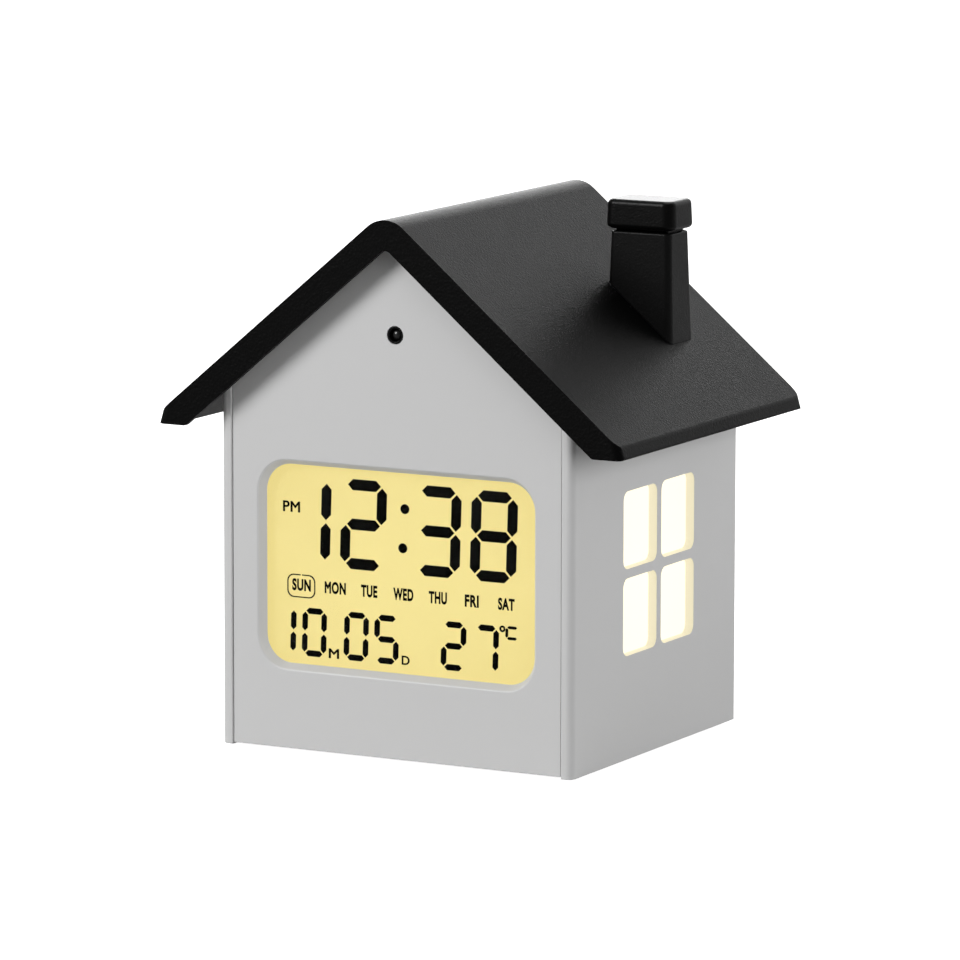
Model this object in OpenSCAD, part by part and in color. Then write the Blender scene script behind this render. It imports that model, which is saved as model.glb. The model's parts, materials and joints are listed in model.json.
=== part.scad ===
// House-shaped table clock: lit display in the gable front, lit side windows, chimney button.
// Millimetres. X points right as seen from the front, the front faces -Y, Z points up.
// The origin lies under the middle of the roof, on the surface that the feet stand on.

/* [Body] */
// Width over the two side walls
body_w = 84; // [80:1:96]
// Depth of the side walls, front edge to back edge
body_d = 76; // [72:1:92]
// Height of a side wall at its outer face
wall_h = 73.6; // [72:0.2:84]
// Thickness of the side walls
wall_t = 2; // [1.6:0.1:2.4]
// Thickness of the floor
floor_t = 2; // [1.8:0.1:3]
// Width of the upright strip on each side of the front panel
strip_w = 2.7; // [2.5:0.05:3.5]
// Radius on the upright front corners
corner_r = 1.7; // [1:0.1:2.4]
// Radius on the inner edge of each front strip
strip_edge_r = 0.3; // [0:0.05:0.5]
// Width and depth of the inner rib that keeps the front panel against the strips
rib_w = 1.6; // [1.2:0.1:2.4]

/* [Front panel] */
// Thickness of the plate between the strips
plate_t = 2; // [1.6:0.1:2.6]
// Thickness of the wider flange behind the strips
flange_t = 2.2; // [1.8:0.1:3]
// How far the plate sits behind the strips' front faces
panel_recess = 0.3; // [0.1:0.05:0.6]
// How far the plate ends above the side walls' bottom edge
panel_lift = 0.37; // [0.1:0.01:0.8]
// Open seam between the plate and each strip
seam = 0.15; // [0.1:0.05:0.5]
// How far the light sensor lies below the roof's inner peak
sensor_drop = 18.6; // [15:0.2:23]
// Diameter of the sensor hole
sensor_d = 3.9; // [3.5:0.1:5]

/* [Display] */
// Width of the visible screen
screen_w = 64; // [56:0.5:64]
// Height of the visible screen
screen_h = 42.6; // [38:0.2:44]
// Height of the screen's middle above the walls' bottom edge
screen_z = 39.7; // [38:0.1:42]
// Corner radius of the visible screen
screen_r = 6; // [3:0.5:8]
// Width of the sloped bezel around the screen
bezel_w = 1.15; // [0.6:0.05:1.5]
// How far the lens and the display cell reach past the visible screen
lens_margin = 1.6; // [1.4:0.1:2]
// Thickness of the clear lens
lens_t = 1; // [0.8:0.1:1.5]
// Air between the lens and the display cell
lens_air = 0.25; // [0.2:0.05:0.5]
// Thickness of the display cell
glass_t = 2; // [1.4:0.1:2.6]
// Thickness of the backlight's light guide
backlight_t = 2.5; // [2:0.1:4]
// Wall of the frame that holds the display on the board
frame_wall = 2; // [1.5:0.1:2.4]
// Back of that frame, behind the backlight
frame_back = 1.2; // [0.8:0.1:2]
// Width of one time digit
digit_w = 10.9; // [8:0.1:11.5]
// Height of one time digit
digit_h = 19.2; // [15:0.1:20]
// Width of a segment of a time digit
segment_w = 2.35; // [1.5:0.05:2.6]
// Width of one date digit
small_digit_w = 5.9; // [5:0.1:6.5]
// Height of one date digit
small_digit_h = 10.4; // [8:0.1:11]
// Width of a segment of a date digit
small_segment_w = 1.3; // [0.9:0.05:1.5]
// Sideways lean of the digits, per unit of height
digit_lean = 0.03; // [0:0.01:0.1]

/* [Windows] */
// Width of one pane
pane_w = 15.5; // [12:0.5:17]
// Height of one pane
pane_h = 16.5; // [13:0.5:17]
// Bar between two panes
mullion = 2; // [1.5:0.1:3]
// Corner radius of a pane
pane_r = 2; // [1:0.1:4]
// Where the window's middle lies, back from the middle of the roof
window_y = 0.5; // [-4:0.5:4]
// Height of the window's middle above the walls' bottom edge
window_z = 39.7; // [38:0.1:42]
// Thickness of the milky diffuser
diffuser_t = 1.5; // [1:0.1:2]
// How far the diffuser reaches past the panes
diffuser_margin = 2; // [1.5:0.1:2.5]
// Depth of the reflector box behind the diffuser
light_box_d = 8; // [6:0.5:9]
// Wall of the reflector box
light_box_t = 1.2; // [0.8:0.1:1.6]

/* [Roof] */
// Angle of each slope
roof_pitch = 40; // [38:0.5:42]
// Thickness of the roof at its edges, square to the slope
roof_t = 6.05; // [5:0.05:7]
// Thickness of the skin over the attic
roof_skin = 2.4; // [1.8:0.1:3]
// How far each eave stands out from the side wall
side_overhang = 13.3; // [10:0.1:15]
// How far the roof stands out at the front
front_overhang = 4; // [3:0.25:8]
// How far the roof stands out at the back
rear_overhang = 6; // [4:0.25:8]
// How far the eave's flat bottom lies below the side wall's top
eave_drop = 5.3; // [4:0.1:7]
// How far the eave's end face leans out towards its bottom
eave_lean = 0.8; // [0.2:0.1:1.5]
// Radius along the ridge
ridge_r = 6.5; // [3:0.5:9]
// Corner radius of the roof seen from above
roof_corner_r = 2; // [1:0.5:4]
// Radius on the eave's lower inner edge
eave_r = 1.2; // [0.5:0.1:2]
// Radius on the eave's upper outer edge
eave_edge_r = 1.6; // [0.4:0.1:2]
// Radius on the eave's lower outer edge
eave_tip_r = 0.4; // [0.2:0.1:0.8]
// Depth of the plain board at each end of the roof
fascia_t = 1.2; // [1:0.1:2]
// How far the roof's underside rises behind those boards
verge_rise = 1.6; // [1:0.1:2]
// How far the eaves' underside rises towards the wall behind that board
soffit_rise = 0.6; // [0.4:0.05:1.5]

/* [Chimney] */
// How far the chimney's middle lies in from the right wall's outer face
chimney_in = 11.4; // [10:0.1:14]
// Where the chimney's middle lies, back from the middle of the roof
chimney_y = 17.8; // [8:0.2:19]
// Width of the stack where it meets the slope
stack_base_w = 15.6; // [14.6:0.1:17]
// Depth of the stack where it meets the slope
stack_base_d = 11.2; // [10:0.1:12]
// Width of the stack's top
stack_top_w = 14.2; // [13.6:0.1:14.5]
// Depth of the stack's top
stack_top_d = 9.6; // [9.2:0.1:9.9]
// How far the stack's top lies below the sharp line of the ridge
stack_drop = 8.65; // [6:0.05:11]
// Radius on the stack's upright edges
stack_r = 1.4; // [1.2:0.1:2]
// Width of the cap at its bottom
cap_base_w = 16.3; // [14:0.1:18]
// Depth of the cap at its bottom
cap_base_d = 11.6; // [10:0.1:13]
// Width of the cap at its top
cap_top_w = 16; // [13:0.1:17]
// Depth of the cap at its top
cap_top_d = 11.3; // [9:0.1:12]
// Height of the cap
cap_h = 6.3; // [5:0.1:8]
// How far the cap can be pressed
cap_travel = 0.4; // [0.3:0.1:0.8]
// Room left under the cap when it is pressed
cap_room = 0.2; // [0.2:0.1:0.6]
// How far the cap's skirt stands in from the stack's top edge
skirt_in = 0.9; // [0.8:0.1:1.1]
// How far that skirt reaches into the stack at rest
skirt_l = 0.6; // [0.4:0.1:1]
// Radius on the cap's upright edges
cap_r = 2.4; // [1.5:0.1:3]
// Radius on the cap's upper and lower edges
cap_edge_r = 1.1; // [0.5:0.1:1.4]
// Width of the neck that slides in the stack
neck_w = 8.4; // [7.5:0.1:9]
// Depth of the neck that slides in the stack
neck_d = 4.6; // [4.4:0.1:5]
// Length of the neck below the cap
neck_l = 14; // [10:0.5:16]
// Diameter of the stem below the neck
stem_d = 4; // [3:0.1:4.2]
// Wall of the guide that reaches down through the roof
guide_t = 1; // [0.8:0.1:1.2]

/* [Rear cover] */
// Thickness of the rear cover
cover_t = 2.2; // [2:0.1:2.6]
// How far the cover sits in from the side walls' back edges
cover_recess = 0.4; // [0.2:0.05:1]
// How far the cover ends above the walls' bottom edge
cover_lift = 0.3; // [0.1:0.05:0.8]
// Diameter of a setting button
button_d = 8; // [6:0.2:9]
// Distance between neighbouring buttons
button_pitch = 16; // [15:0.25:16.5]
// Height of the button row above the walls' bottom edge
button_z = 57.4; // [57:0.2:59]
// How far a button stands out of the cover
button_proud = 1.6; // [1.2:0.1:3]
// How far a button can be pressed
button_travel = 0.8; // [0.3:0.1:0.8]
// How far the alarm switch lies below the roof's inner peak
alarm_drop = 39; // [38:0.2:40]
// Width of the alarm switch's grip
grip_w = 4; // [3:0.1:5]
// Height of the alarm switch's grip
grip_h = 3.2; // [2.4:0.1:3.6]
// Sideways travel of the alarm switch
switch_travel = 3; // [2:0.1:3.5]
// How far the buzzer's middle lies below the roof's inner peak
buzzer_drop = 24.4; // [22:0.2:25]
// Diameter of the buzzer
buzzer_d = 16; // [12:0.5:17]
// Height of the buzzer's case
buzzer_h = 4; // [3:0.5:6]
// Diameter of one sound hole
sound_hole_d = 1.6; // [1:0.1:2]

/* [Battery bay] */
// Diameter of one cell
cell_d = 10.5; // [10:0.1:10.6]
// Length of one cell over its contact nub
cell_l = 44.5; // [42:0.1:45]
// Ridge between neighbouring cells
cell_ridge = 1; // [0.8:0.1:1.2]
// Room around a cell in its trough
cell_gap = 0.2; // [0.1:0.05:0.4]
// Wall of the battery tray
tray_t = 1.4; // [1:0.1:1.8]
// Height of the tray's underside above the walls' bottom edge
tray_z = 10.4; // [10:0.1:11]
// Thickness of the battery door
door_t = 2; // [1.6:0.1:2.2]
// Open gap around the battery door
door_gap = 0.35; // [0.25:0.05:0.5]
// Diameter of the door's hinge pins
hinge_pin_d = 1.6; // [1.2:0.1:1.6]
// Length of a contact spring between its plate and the cell
spring_l = 4.4; // [4:0.1:5]
// Outer diameter of a contact spring
spring_d = 6; // [4:0.2:7]
// Wire of a contact spring
spring_wire = 0.6; // [0.4:0.05:0.6]

/* [Boards and fasteners] */
// Thickness of every circuit board
pcb_t = 1.6; // [1.2:0.1:1.8]
// Diameter of a screw's shank
screw_d = 2.2; // [1.8:0.1:2.4]
// Diameter of a screw's head
screw_head_d = 4.2; // [3.6:0.1:4.4]
// Height of a screw's head
screw_head_h = 1.6; // [1.2:0.1:1.8]
// Diameter of a screw boss
boss_d = 5.4; // [5:0.1:6]
// Diameter of a post that carries the button board
post_d = 4.4; // [4:0.1:4.8]
// Side of a press switch's square case
switch_w = 6; // [5:0.1:6.4]
// Height of a press switch's case
switch_h = 3.4; // [3:0.1:4]
// Diameter of a press switch's actuator
actuator_d = 3.2; // [2.4:0.1:3.4]

/* [Feet] */
// Diameter of a rubber foot
foot_d = 8; // [6:0.5:10]
// Thickness of a rubber foot
foot_t = 1.5; // [1.2:0.1:1.7]
// How far a foot holds the walls off the table
foot_stand = 0.6; // [0.4:0.1:0.8]
// Distance of a foot's middle from the body's outer faces
foot_inset = 9; // [7:0.5:14]

/* [Clearances] */
// Gap between pieces that are fixed together
seat_gap = 0.1; // [0.05:0.01:0.12]
// Gap around pieces that slide
slide_gap = 0.25; // [0.2:0.01:0.3]
// Radial gap around a hinge pin
pivot_gap = 0.08; // [0.05:0.01:0.1]

/* [Hidden] */

$fn = 64;
// Straight steps in a rounded corner of an outline
arc_steps = 12;
// Overreach of a cut past the face that it opens
cut = 1;
// Overlap of two shapes that form one piece
weld = 0.4;
// Thickness of the slices that a hull joins
slice = 0.02;
// How far a flange stands out round a collar or a button
flange_out = 1.2;

// House outline
base_z = foot_stand;
roof_d = body_d + front_overhang + rear_overhang;
front_y = front_overhang - roof_d / 2;
back_y = front_y + body_d;
half_w = body_w / 2;
in_x = half_w - wall_t;
wall_top = base_z + wall_h;
floor_top = base_z + floor_t;
slope = tan(roof_pitch);
upright_share = 1 / cos(roof_pitch);
function under_z(x) = wall_top + (half_w - abs(x)) * slope;
function top_z(x) = under_z(x) + roof_t * upright_share;
eave_x = half_w + side_overhang;
eave_z = wall_top - eave_drop;
eave_in_x = half_w + eave_drop / slope;
roof_seat = seat_gap * upright_share;
soffit_edge = 1;
roof_lean = eave_lean * (top_z(0) - eave_z) / (top_z(eave_x - eave_lean) - eave_z);
soffit_x0 = half_w + (eave_drop + verge_rise - soffit_rise) / slope;
soffit_wall_x = half_w + seat_gap;
soffit_x1 = eave_x - soffit_edge;
soffit_slope = soffit_rise / (soffit_x1 - soffit_x0);
inner_apex_r = 1.7;

// Front panel and the display behind it
plate_y0 = front_y + panel_recess;
plate_y1 = plate_y0 + plate_t;
flange_y1 = plate_y1 + flange_t;
strip_d = plate_y1 - seat_gap - front_y;
plate_half = half_w - strip_w - seam;
flange_half = in_x - seat_gap;
screen_cz = base_z + screen_z;
lens_w = screen_w + 2 * lens_margin;
lens_h = screen_h + 2 * lens_margin;
lens_y0 = plate_y1 + seat_gap;
lens_y1 = lens_y0 + lens_t;
glass_y0 = lens_y1 + lens_air;
glass_y1 = glass_y0 + glass_t;
backlight_y0 = glass_y1 + seat_gap;
backlight_y1 = backlight_y0 + backlight_t;
frame_w = lens_w + 2 * frame_wall;
frame_h = lens_h + 2 * frame_wall;
frame_y0 = max(flange_y1, glass_y0) + seat_gap;
frame_y1 = backlight_y1 + seat_gap + frame_back;
zebra_w = 60;
zebra_room = 0.25;
zebra_t = lens_margin - 2 * zebra_room;
zebra_z = screen_cz - screen_h / 2 - lens_margin / 2;
board_y0 = frame_y1 + seat_gap;
board_y1 = board_y0 + pcb_t;
board_boss_x = frame_w / 2 - boss_d;
board_boss_off = frame_h / 2 + boss_d / 2 + cut;
board_w = frame_w;
board_h = 2 * board_boss_off + boss_d;
chip_d = 14;
chip_h = 1.4;
chip_lip = 0.5;
crystal_d = 2;
crystal_l = 6;

// Rows of the display, measured from the screen's middle
segment_h = 0.1;
segment_gap = 0.33;
small_segment_gap = 0.25;
time_row = 9.35;
date_row = -14.6;
time_places = [[-22.7, 1], [-9.35, 2], [8.4, 3], [21.7, 8]];
date_places = [[-28.65, 1], [-21.26, 0], [-11.12, 0], [-3.84, 5], [12.2, 2], [19.9, 7]];
colon_x = 0.33;
colon_half = 4.17;
colon_d = 2.1;
degree_place = [23.75, -9.9];
degree_d = 1.4;
degree_line = 0.42;
celsius_place = [26.05, -10.65];
celsius_w = 2.5;
celsius_h = 2.3;
celsius_line = 0.62;
// Lit bars of each digit: top, top right, bottom right, bottom, bottom left, top left, middle
lit_bars = [
    [1, 1, 1, 1, 1, 1, 0], [0, 1, 1, 0, 0, 0, 0], [1, 1, 0, 1, 1, 0, 1], [1, 1, 1, 1, 0, 0, 1],
    [0, 1, 1, 0, 0, 1, 1], [1, 0, 1, 1, 0, 1, 1], [1, 0, 1, 1, 1, 1, 1], [1, 1, 1, 0, 0, 0, 0],
    [1, 1, 1, 1, 1, 1, 1], [1, 1, 1, 1, 0, 1, 1]];

// Light sensor in the gable
sensor_cz = under_z(0) - sensor_drop;
collar_d = sensor_d - 2 * seat_gap;
collar_wall = 0.45;
collar_recess = 0.1;
collar_flange_d = sensor_d + 2 * flange_out;
collar_flange_t = 1.2;
collar_y1 = flange_y1 + seat_gap + collar_flange_t;
eye_d = collar_d - 2 * collar_wall - 2 * seat_gap;
eye_recess = 0.4;
sensor_board_w = 16;
sensor_board_h = 9;
sensor_peg_x = 5.6;
sensor_peg_d = 2;
sensor_peg_out = 0.6;
sensor_board_y0 = collar_y1 + seat_gap;

// Side windows and their lamps
window_cz = base_z + window_z;
diffuser_w = 2 * pane_w + mullion + 2 * diffuser_margin;
diffuser_h = 2 * pane_h + mullion + 2 * diffuser_margin;
diffuser_x1 = in_x - seat_gap;
diffuser_x0 = diffuser_x1 - diffuser_t;
light_box_x1 = diffuser_x0 - seat_gap;
light_box_x0 = light_box_x1 - light_box_d;
light_board_x1 = light_box_x0 - seat_gap;
light_board_x0 = light_board_x1 - pcb_t;
rail_t = 1.2;
rail_end = 3;
rail_half = diffuser_w / 2 - rail_end;
led_w = 3;
led_h = 1.4;
led_half = 8;

// Screws
pilot_room = 0.1;
pilot_d = screw_d + pilot_room;
clear_room = 0.4;
clear_d = screw_d + clear_room;
cross_w = 0.6;
cross_d = 0.7;
cross_l = 0.6 * screw_head_d;
screw_bite = 5;

// Rear cover
cover_y1 = back_y - cover_recess;
cover_y0 = cover_y1 - cover_t;
cover_half = in_x - seat_gap;
cover_z0 = base_z + cover_lift;
boss_room = 1;
boss_web = 1.6;
upper_boss_drop = 14;
rear_boss_x = in_x - boss_d / 2 - boss_room;
rear_boss_zs = [floor_top + boss_d / 2 + boss_room, wall_top - upper_boss_drop];
rear_boss_l = 9;
head_floor = 1.2;
head_sink = cover_t - head_floor;

// Roof screws
lug_x = in_x - boss_d;
lug_t = 2.4;
lug_w = 8;
lug_room = 2;
lug_drop = 7;
lug_z = wall_top - lug_drop;
shelf_half = 4.5;
lug_ys = [board_y1 + screw_head_h + lug_room + lug_w / 2,
    chimney_y - shelf_half - lug_room - lug_w / 2];
attic_rim = 3;
attic_x = in_x - attic_rim;
attic_margin = plate_t + flange_t + attic_rim;
attic_rise = (roof_t - roof_skin) * upright_share;

// Chimney
chimney_x = half_w - chimney_in;
bore_w = neck_w + 2 * slide_gap;
bore_d = neck_d + 2 * slide_gap;
guide_w = bore_w + 2 * guide_t;
guide_d = bore_d + 2 * guide_t;
guide_out = 2;
guide_z0 = under_z(chimney_x + guide_w / 2) + attic_rise - guide_out;
stack_top = top_z(0) - stack_drop;
stack_low = top_z(chimney_x + stack_base_w / 2);
cap_z0 = stack_top + cap_travel + cap_room;
skirt_w = stack_top_w - 2 * skirt_in;
skirt_d = stack_top_d - 2 * skirt_in;
skirt_r = stack_r - skirt_in;
skirt_z0 = stack_top - skirt_l;
pocket_z0 = skirt_z0 - cap_travel - cap_room;
neck_z0 = cap_z0 - neck_l;
shelf_z = lug_z;
shelf_t = 2;
shelf_reach = 5;
snooze_board_in = 8;
snooze_board_x0 = chimney_x - snooze_board_in;
snooze_board_room = 0.6;
snooze_board_x1 = in_x - snooze_board_room;
snooze_board_top = shelf_z + seat_gap + pcb_t;
actuator_out = 1.4;
actuator_in = 1.3;
snooze_case_top = snooze_board_top + seat_gap + switch_h;
stem_z0 = snooze_case_top + actuator_out + seat_gap;
clip_t = 1;
clip_rim = 1;
clip_d = bore_d + 2 * clip_rim;
clip_z1 = guide_z0 - seat_gap;

// Setting buttons and alarm switch
button_xs = [-1.5 * button_pitch, -0.5 * button_pitch, 0.5 * button_pitch, 1.5 * button_pitch];
button_cz = base_z + button_z;
button_flange_d = button_d + 2 * flange_out;
button_flange_t = 1.2;
button_flange_y1 = cover_y0 - slide_gap;
button_flange_y0 = button_flange_y1 - button_flange_t;
button_stem_l = 2;
button_stem_y0 = button_flange_y0 - button_stem_l;
case_y1 = button_stem_y0 - seat_gap - actuator_out;
button_board_y1 = case_y1 - switch_h - seat_gap;
button_board_y0 = button_board_y1 - pcb_t;
alarm_cz = under_z(0) - alarm_drop;
board_post_x = button_pitch;
board_edge = 5.6;
slot_l = grip_w + switch_travel + 2 * slide_gap;
slot_h = grip_h + 2 * slide_gap;
grip_x = -switch_travel / 2;
grip_proud = 1.4;
slider_cover = 0.8;
slider_half = grip_w / 2 + switch_travel + slide_gap + slider_cover;
slider_t = 1;
slider_y1 = cover_y0 - slide_gap;
slider_stem_w = 1.6;
switch_case_w = 11;
switch_case_h = 4.4;
switch_case_t = 4;
switch_slot_d = 2.2;
switch_case_y1 = button_board_y1 + seat_gap + switch_case_t;
buzzer_cz = under_z(0) - buzzer_drop;
buzzer_ring_t = 1.2;
buzzer_ring_h = 2.4;
sound_ring = buzzer_d / 4;
sound_holes = 6;

// Battery bay
cells = 3;
cell_pitch = cell_d + 2 * cell_gap + cell_ridge;
contact_t = 0.4;
bay_l = cell_l + spring_l + 2 * contact_t + 4 * seat_gap;
tray_w = bay_l + 2 * tray_t;
tray_h = cells * cell_pitch - cell_ridge + 2 * tray_t;
tray_z0 = base_z + tray_z;
tray_y1 = cover_y0 - seat_gap;
cell_sink = 0.4;
cell_y = tray_y1 - cell_gap - cell_sink - cell_d / 2;
tray_y0 = cell_y - cell_d / 2 - cell_gap - tray_t;
nub_d = 3.8;
nub_l = 0.8;
contact_w = (cell_d + 2 * cell_gap) * cos(45) - 2 * seat_gap;
spring_turns = 3.5;
spring_rings = 8;
spring_sides = 6;
hinge_r = 1.4;
hinge_y = cover_y1 - hinge_r;
door_w = tray_w;
hinge_room = 0.4;
door_z0 = tray_z0 - 2 * hinge_r - hinge_room;
door_z1 = tray_z0 + tray_h;
hinge_z = door_z0 + hinge_r;
hinge_pin_out = 1.8;
hinge_reach = door_w / 2 + door_gap + hinge_pin_out;
hinge_lug_w = 3.4;
hinge_lug_d = 2;
latch_w = 10;
latch_l = 8;
latch_slit = 0.8;
latch_ridge = 1.2;
latch_ridges = 3;
latch_ridge_out = 0.5;

// Centre line of a contact spring and the rings of its wire
spring_x0 = -bay_l / 2 + contact_t + 2 * seat_gap + spring_wire / 2;
spring_run = spring_l - spring_wire - 2 * seat_gap;
spring_r = (spring_d - spring_wire) / 2;
spring_steps = spring_turns * spring_rings;
spring_line = [for (i = [0 : spring_steps])
    let (a = i * 360 / spring_rings)
    [spring_x0 + spring_run * i / spring_steps, spring_r * cos(a), spring_r * sin(a)]];
spring_wall = [for (i = [0 : spring_steps], k = [0 : spring_sides - 1])
    let (a = i * 360 / spring_rings, b = k * 360 / spring_sides)
    spring_line[i] + spring_wire / 2 * [sin(b), cos(b) * cos(a), cos(b) * sin(a)]];
function ring_point(i, k) = i * spring_sides + k % spring_sides;
spring_faces = concat(
    [for (i = [0 : spring_steps - 1], k = [0 : spring_sides - 1])
        each [[ring_point(i, k), ring_point(i, k + 1), ring_point(i + 1, k + 1)],
            [ring_point(i, k), ring_point(i + 1, k + 1), ring_point(i + 1, k)]]],
    [for (k = [1 : spring_sides - 2])
        each [[ring_point(0, 0), ring_point(0, k + 1), ring_point(0, k)],
            [ring_point(spring_steps, 0), ring_point(spring_steps, k), ring_point(spring_steps, k + 1)]]]);
spring_gap = min([for (i = [0 : spring_steps], j = [i + spring_rings / 2 : spring_steps])
    norm(spring_line[i] - spring_line[j]) - spring_wire]);
echo(least_gap_between_spring_turns = spring_gap);

// Colours
grey = [0.76, 0.76, 0.76];
black = [0.08, 0.08, 0.085];
board_green = [0.08, 0.32, 0.2];
metal = [0.75, 0.75, 0.72];
milky = [0.98, 0.96, 0.88];

// Outline helpers
function unit(v) = v / norm(v);
function half_turn(a) = a - 360 * round(a / 360);
function corner_arc(a, b, c, r) =
    r == 0 ? [b] :
    let (u = unit(a - b),
         v = unit(c - b),
         half = acos(u * v) / 2,
         mid = b + unit(u + v) * r / sin(half),
         from = b + u * r / tan(half) - mid,
         to = b + v * r / tan(half) - mid,
         start = atan2(from[1], from[0]),
         sweep = half_turn(atan2(to[1], to[0]) - start))
    [for (k = [0 : arc_steps])
        let (angle = start + sweep * k / arc_steps)
        mid + r * [cos(angle), sin(angle)]];
function rounded(points, radii) =
    let (n = len(points))
    [for (i = [0 : n - 1])
        each corner_arc(points[(i + n - 1) % n], points[i], points[(i + 1) % n], radii[i])];

module round_rect(w, h, r) {
    polygon(rounded([[-w / 2, -h / 2], [w / 2, -h / 2], [w / 2, h / 2], [-w / 2, h / 2]], [r, r, r, r]));
}

// An outline in X and Z, drawn out from y0 back to y1
module upright(y0, y1) {
    translate([0, y1, 0])
        rotate([90, 0, 0])
            linear_extrude(y1 - y0) children();
}

// An outline in Y and Z, drawn out from x0 to x1
module sideways(x0, x1) {
    translate([x0, 0, 0])
        rotate([90, 0, 90])
            linear_extrude(x1 - x0) children();
}

// A rod along Y from y0 to y1
module rod_y(x, z, y0, y1, d) {
    translate([x, y1, z])
        rotate([90, 0, 0]) cylinder(d = d, h = y1 - y0);
}

// A rod along X from x0 to x1
module rod_x(y, z, x0, x1, d) {
    translate([x0, y, z])
        rotate([0, 90, 0]) cylinder(d = d, h = x1 - x0);
}

module block(low, high) {
    translate(low) cube(high - low);
}

// The house's own outline from a floor level up to the roof's underside, where that rises by so much
module gable(half, z0, rise) {
    lift = rise - roof_seat;
    polygon(rounded(
        [[-half, z0], [half, z0], [half, under_z(half) + lift],
            [0, under_z(0) + lift], [-half, under_z(half) + lift]],
        [0, 0, 0, inner_apex_r, 0]));
}

module both_sides() {
    children();
    mirror([1, 0, 0]) children();
}

// A pan-head screw with its head above z 0 and its shank below
module screw(l) {
    difference() {
        union() {
            cylinder(d = screw_head_d, h = screw_head_h);
            translate([0, 0, -l]) cylinder(d = screw_d, h = l + weld);
        }
        for (a = [0, 90])
            rotate([0, 0, a])
                translate([-cross_l / 2, -cross_w / 2, screw_head_h - cross_d])
                    cube([cross_l, cross_w, cross_d + cut]);
    }
}

// Plan of one side wall with its front strip and the rib behind the front panel
module wall_plan() {
    polygon(rounded(
        [[half_w, front_y], [half_w, back_y], [in_x, back_y], [in_x, front_y + strip_d],
            [half_w - strip_w, front_y + strip_d], [half_w - strip_w, front_y]],
        [corner_r, 0, 0, 0, 0, strip_edge_r]));
    translate([in_x - rib_w, flange_y1 + seat_gap]) square([rib_w + weld, rib_w]);
}

module pane_outlines() {
    for (i = [-1, 1], k = [-1, 1])
        translate([window_y + i * (pane_w + mullion) / 2, window_cz + k * (pane_h + mullion) / 2])
            round_rect(pane_w, pane_h, pane_r);
}

module foot_places() {
    for (x = [-half_w + foot_inset, half_w - foot_inset], y = [front_y + foot_inset, back_y - foot_inset])
        translate([x, y, 0]) children();
}

module rear_boss_places() {
    for (x = [-rear_boss_x, rear_boss_x], z = rear_boss_zs)
        translate([x, 0, z]) children();
}

module body_shell() color(grey)
    difference() {
        union() {
            intersection() {
                both_sides()
                    translate([0, 0, base_z]) linear_extrude(under_z(0)) wall_plan();
                union() {
                    upright(front_y - cut, back_y + cut) gable(half_w, base_z, 0);
                    upright(front_y - cut, flange_y1) gable(half_w, base_z, verge_rise);
                }
            }
            block([-in_x - weld, plate_y1 + seat_gap, base_z],
                [in_x + weld, cover_y0 - seat_gap, floor_top]);
            both_sides() {
                for (z = rear_boss_zs) {
                    rod_y(rear_boss_x, z, cover_y0 - seat_gap - rear_boss_l, cover_y0 - seat_gap, boss_d);
                    block([rear_boss_x, cover_y0 - seat_gap - rear_boss_l, z - boss_web / 2],
                        [in_x + weld, cover_y0 - seat_gap - cut, z + boss_web / 2]);
                }
                for (y = lug_ys)
                    block([lug_x - lug_w / 2, y - lug_w / 2, lug_z - lug_t],
                        [in_x + weld, y + lug_w / 2, lug_z]);
                for (k = [-1, 1])
                    translate([0, 0, window_cz + k * (diffuser_h / 2 + seat_gap + rail_t / 2)])
                        block([light_board_x0, window_y - rail_half, -rail_t / 2],
                            [in_x + weld, window_y + rail_half, rail_t / 2]);
            }
            block([snooze_board_x1 - shelf_reach, chimney_y - shelf_half, shelf_z - shelf_t],
                [in_x + weld, chimney_y + shelf_half, shelf_z]);
        }
        both_sides()
            sideways(in_x - cut, half_w + cut) pane_outlines();
        screen_plate(frame_w + 2 * seat_gap, frame_h + 2 * seat_gap, flange_y1, board_y1);
        foot_places()
            translate([0, 0, base_z - cut])
                cylinder(d = foot_d + 2 * seat_gap, h = foot_t - foot_stand + cut);
        rear_boss_places()
            rod_y(0, 0, cover_y0 - rear_boss_l + cut, cover_y0 + cut, pilot_d);
        both_sides()
            for (y = lug_ys)
                translate([lug_x, y, lug_z - lug_t - cut]) cylinder(d = clear_d, h = lug_t + 2 * cut);
    }

module front_panel() color(grey)
    difference() {
        union() {
            upright(plate_y0, plate_y1) gable(plate_half, base_z + panel_lift, verge_rise);
            upright(plate_y0 + weld, flange_y1) gable(plate_half, floor_top + seat_gap, verge_rise);
            upright(plate_y1, flange_y1) gable(flange_half, floor_top + seat_gap, verge_rise);
            board_boss_places() rod_y(0, 0, flange_y1 - weld, board_y0 - seat_gap, boss_d);
            for (x = [-sensor_peg_x, sensor_peg_x])
                rod_y(x, sensor_cz, flange_y1 - weld, sensor_board_y0 + pcb_t + sensor_peg_out, sensor_peg_d);
        }
        bezel_cut();
        upright(plate_y1, flange_y1 + cut)
            translate([0, screen_cz]) square([lens_w + 2 * seat_gap, lens_h + 2 * seat_gap], center = true);
        rod_y(0, sensor_cz, plate_y0 - cut, flange_y1 + cut, sensor_d);
        board_boss_places() rod_y(0, 0, board_y0 - screw_bite - cut, board_y0 + cut, pilot_d);
    }

// Sloped opening of the display, wide at the front and narrow at the lens
module bezel_cut() {
    translate([0, 0, screen_cz])
        hull() {
            upright(plate_y0 - slice, plate_y0) round_rect(screen_w + 2 * bezel_w, screen_h + 2 * bezel_w,
                screen_r + bezel_w);
            upright(plate_y1, plate_y1 + slice) round_rect(screen_w, screen_h, screen_r);
        }
}

module board_boss_places() {
    for (x = [-board_boss_x, board_boss_x], k = [-1, 1])
        translate([x, 0, screen_cz + k * board_boss_off]) children();
}

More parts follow.
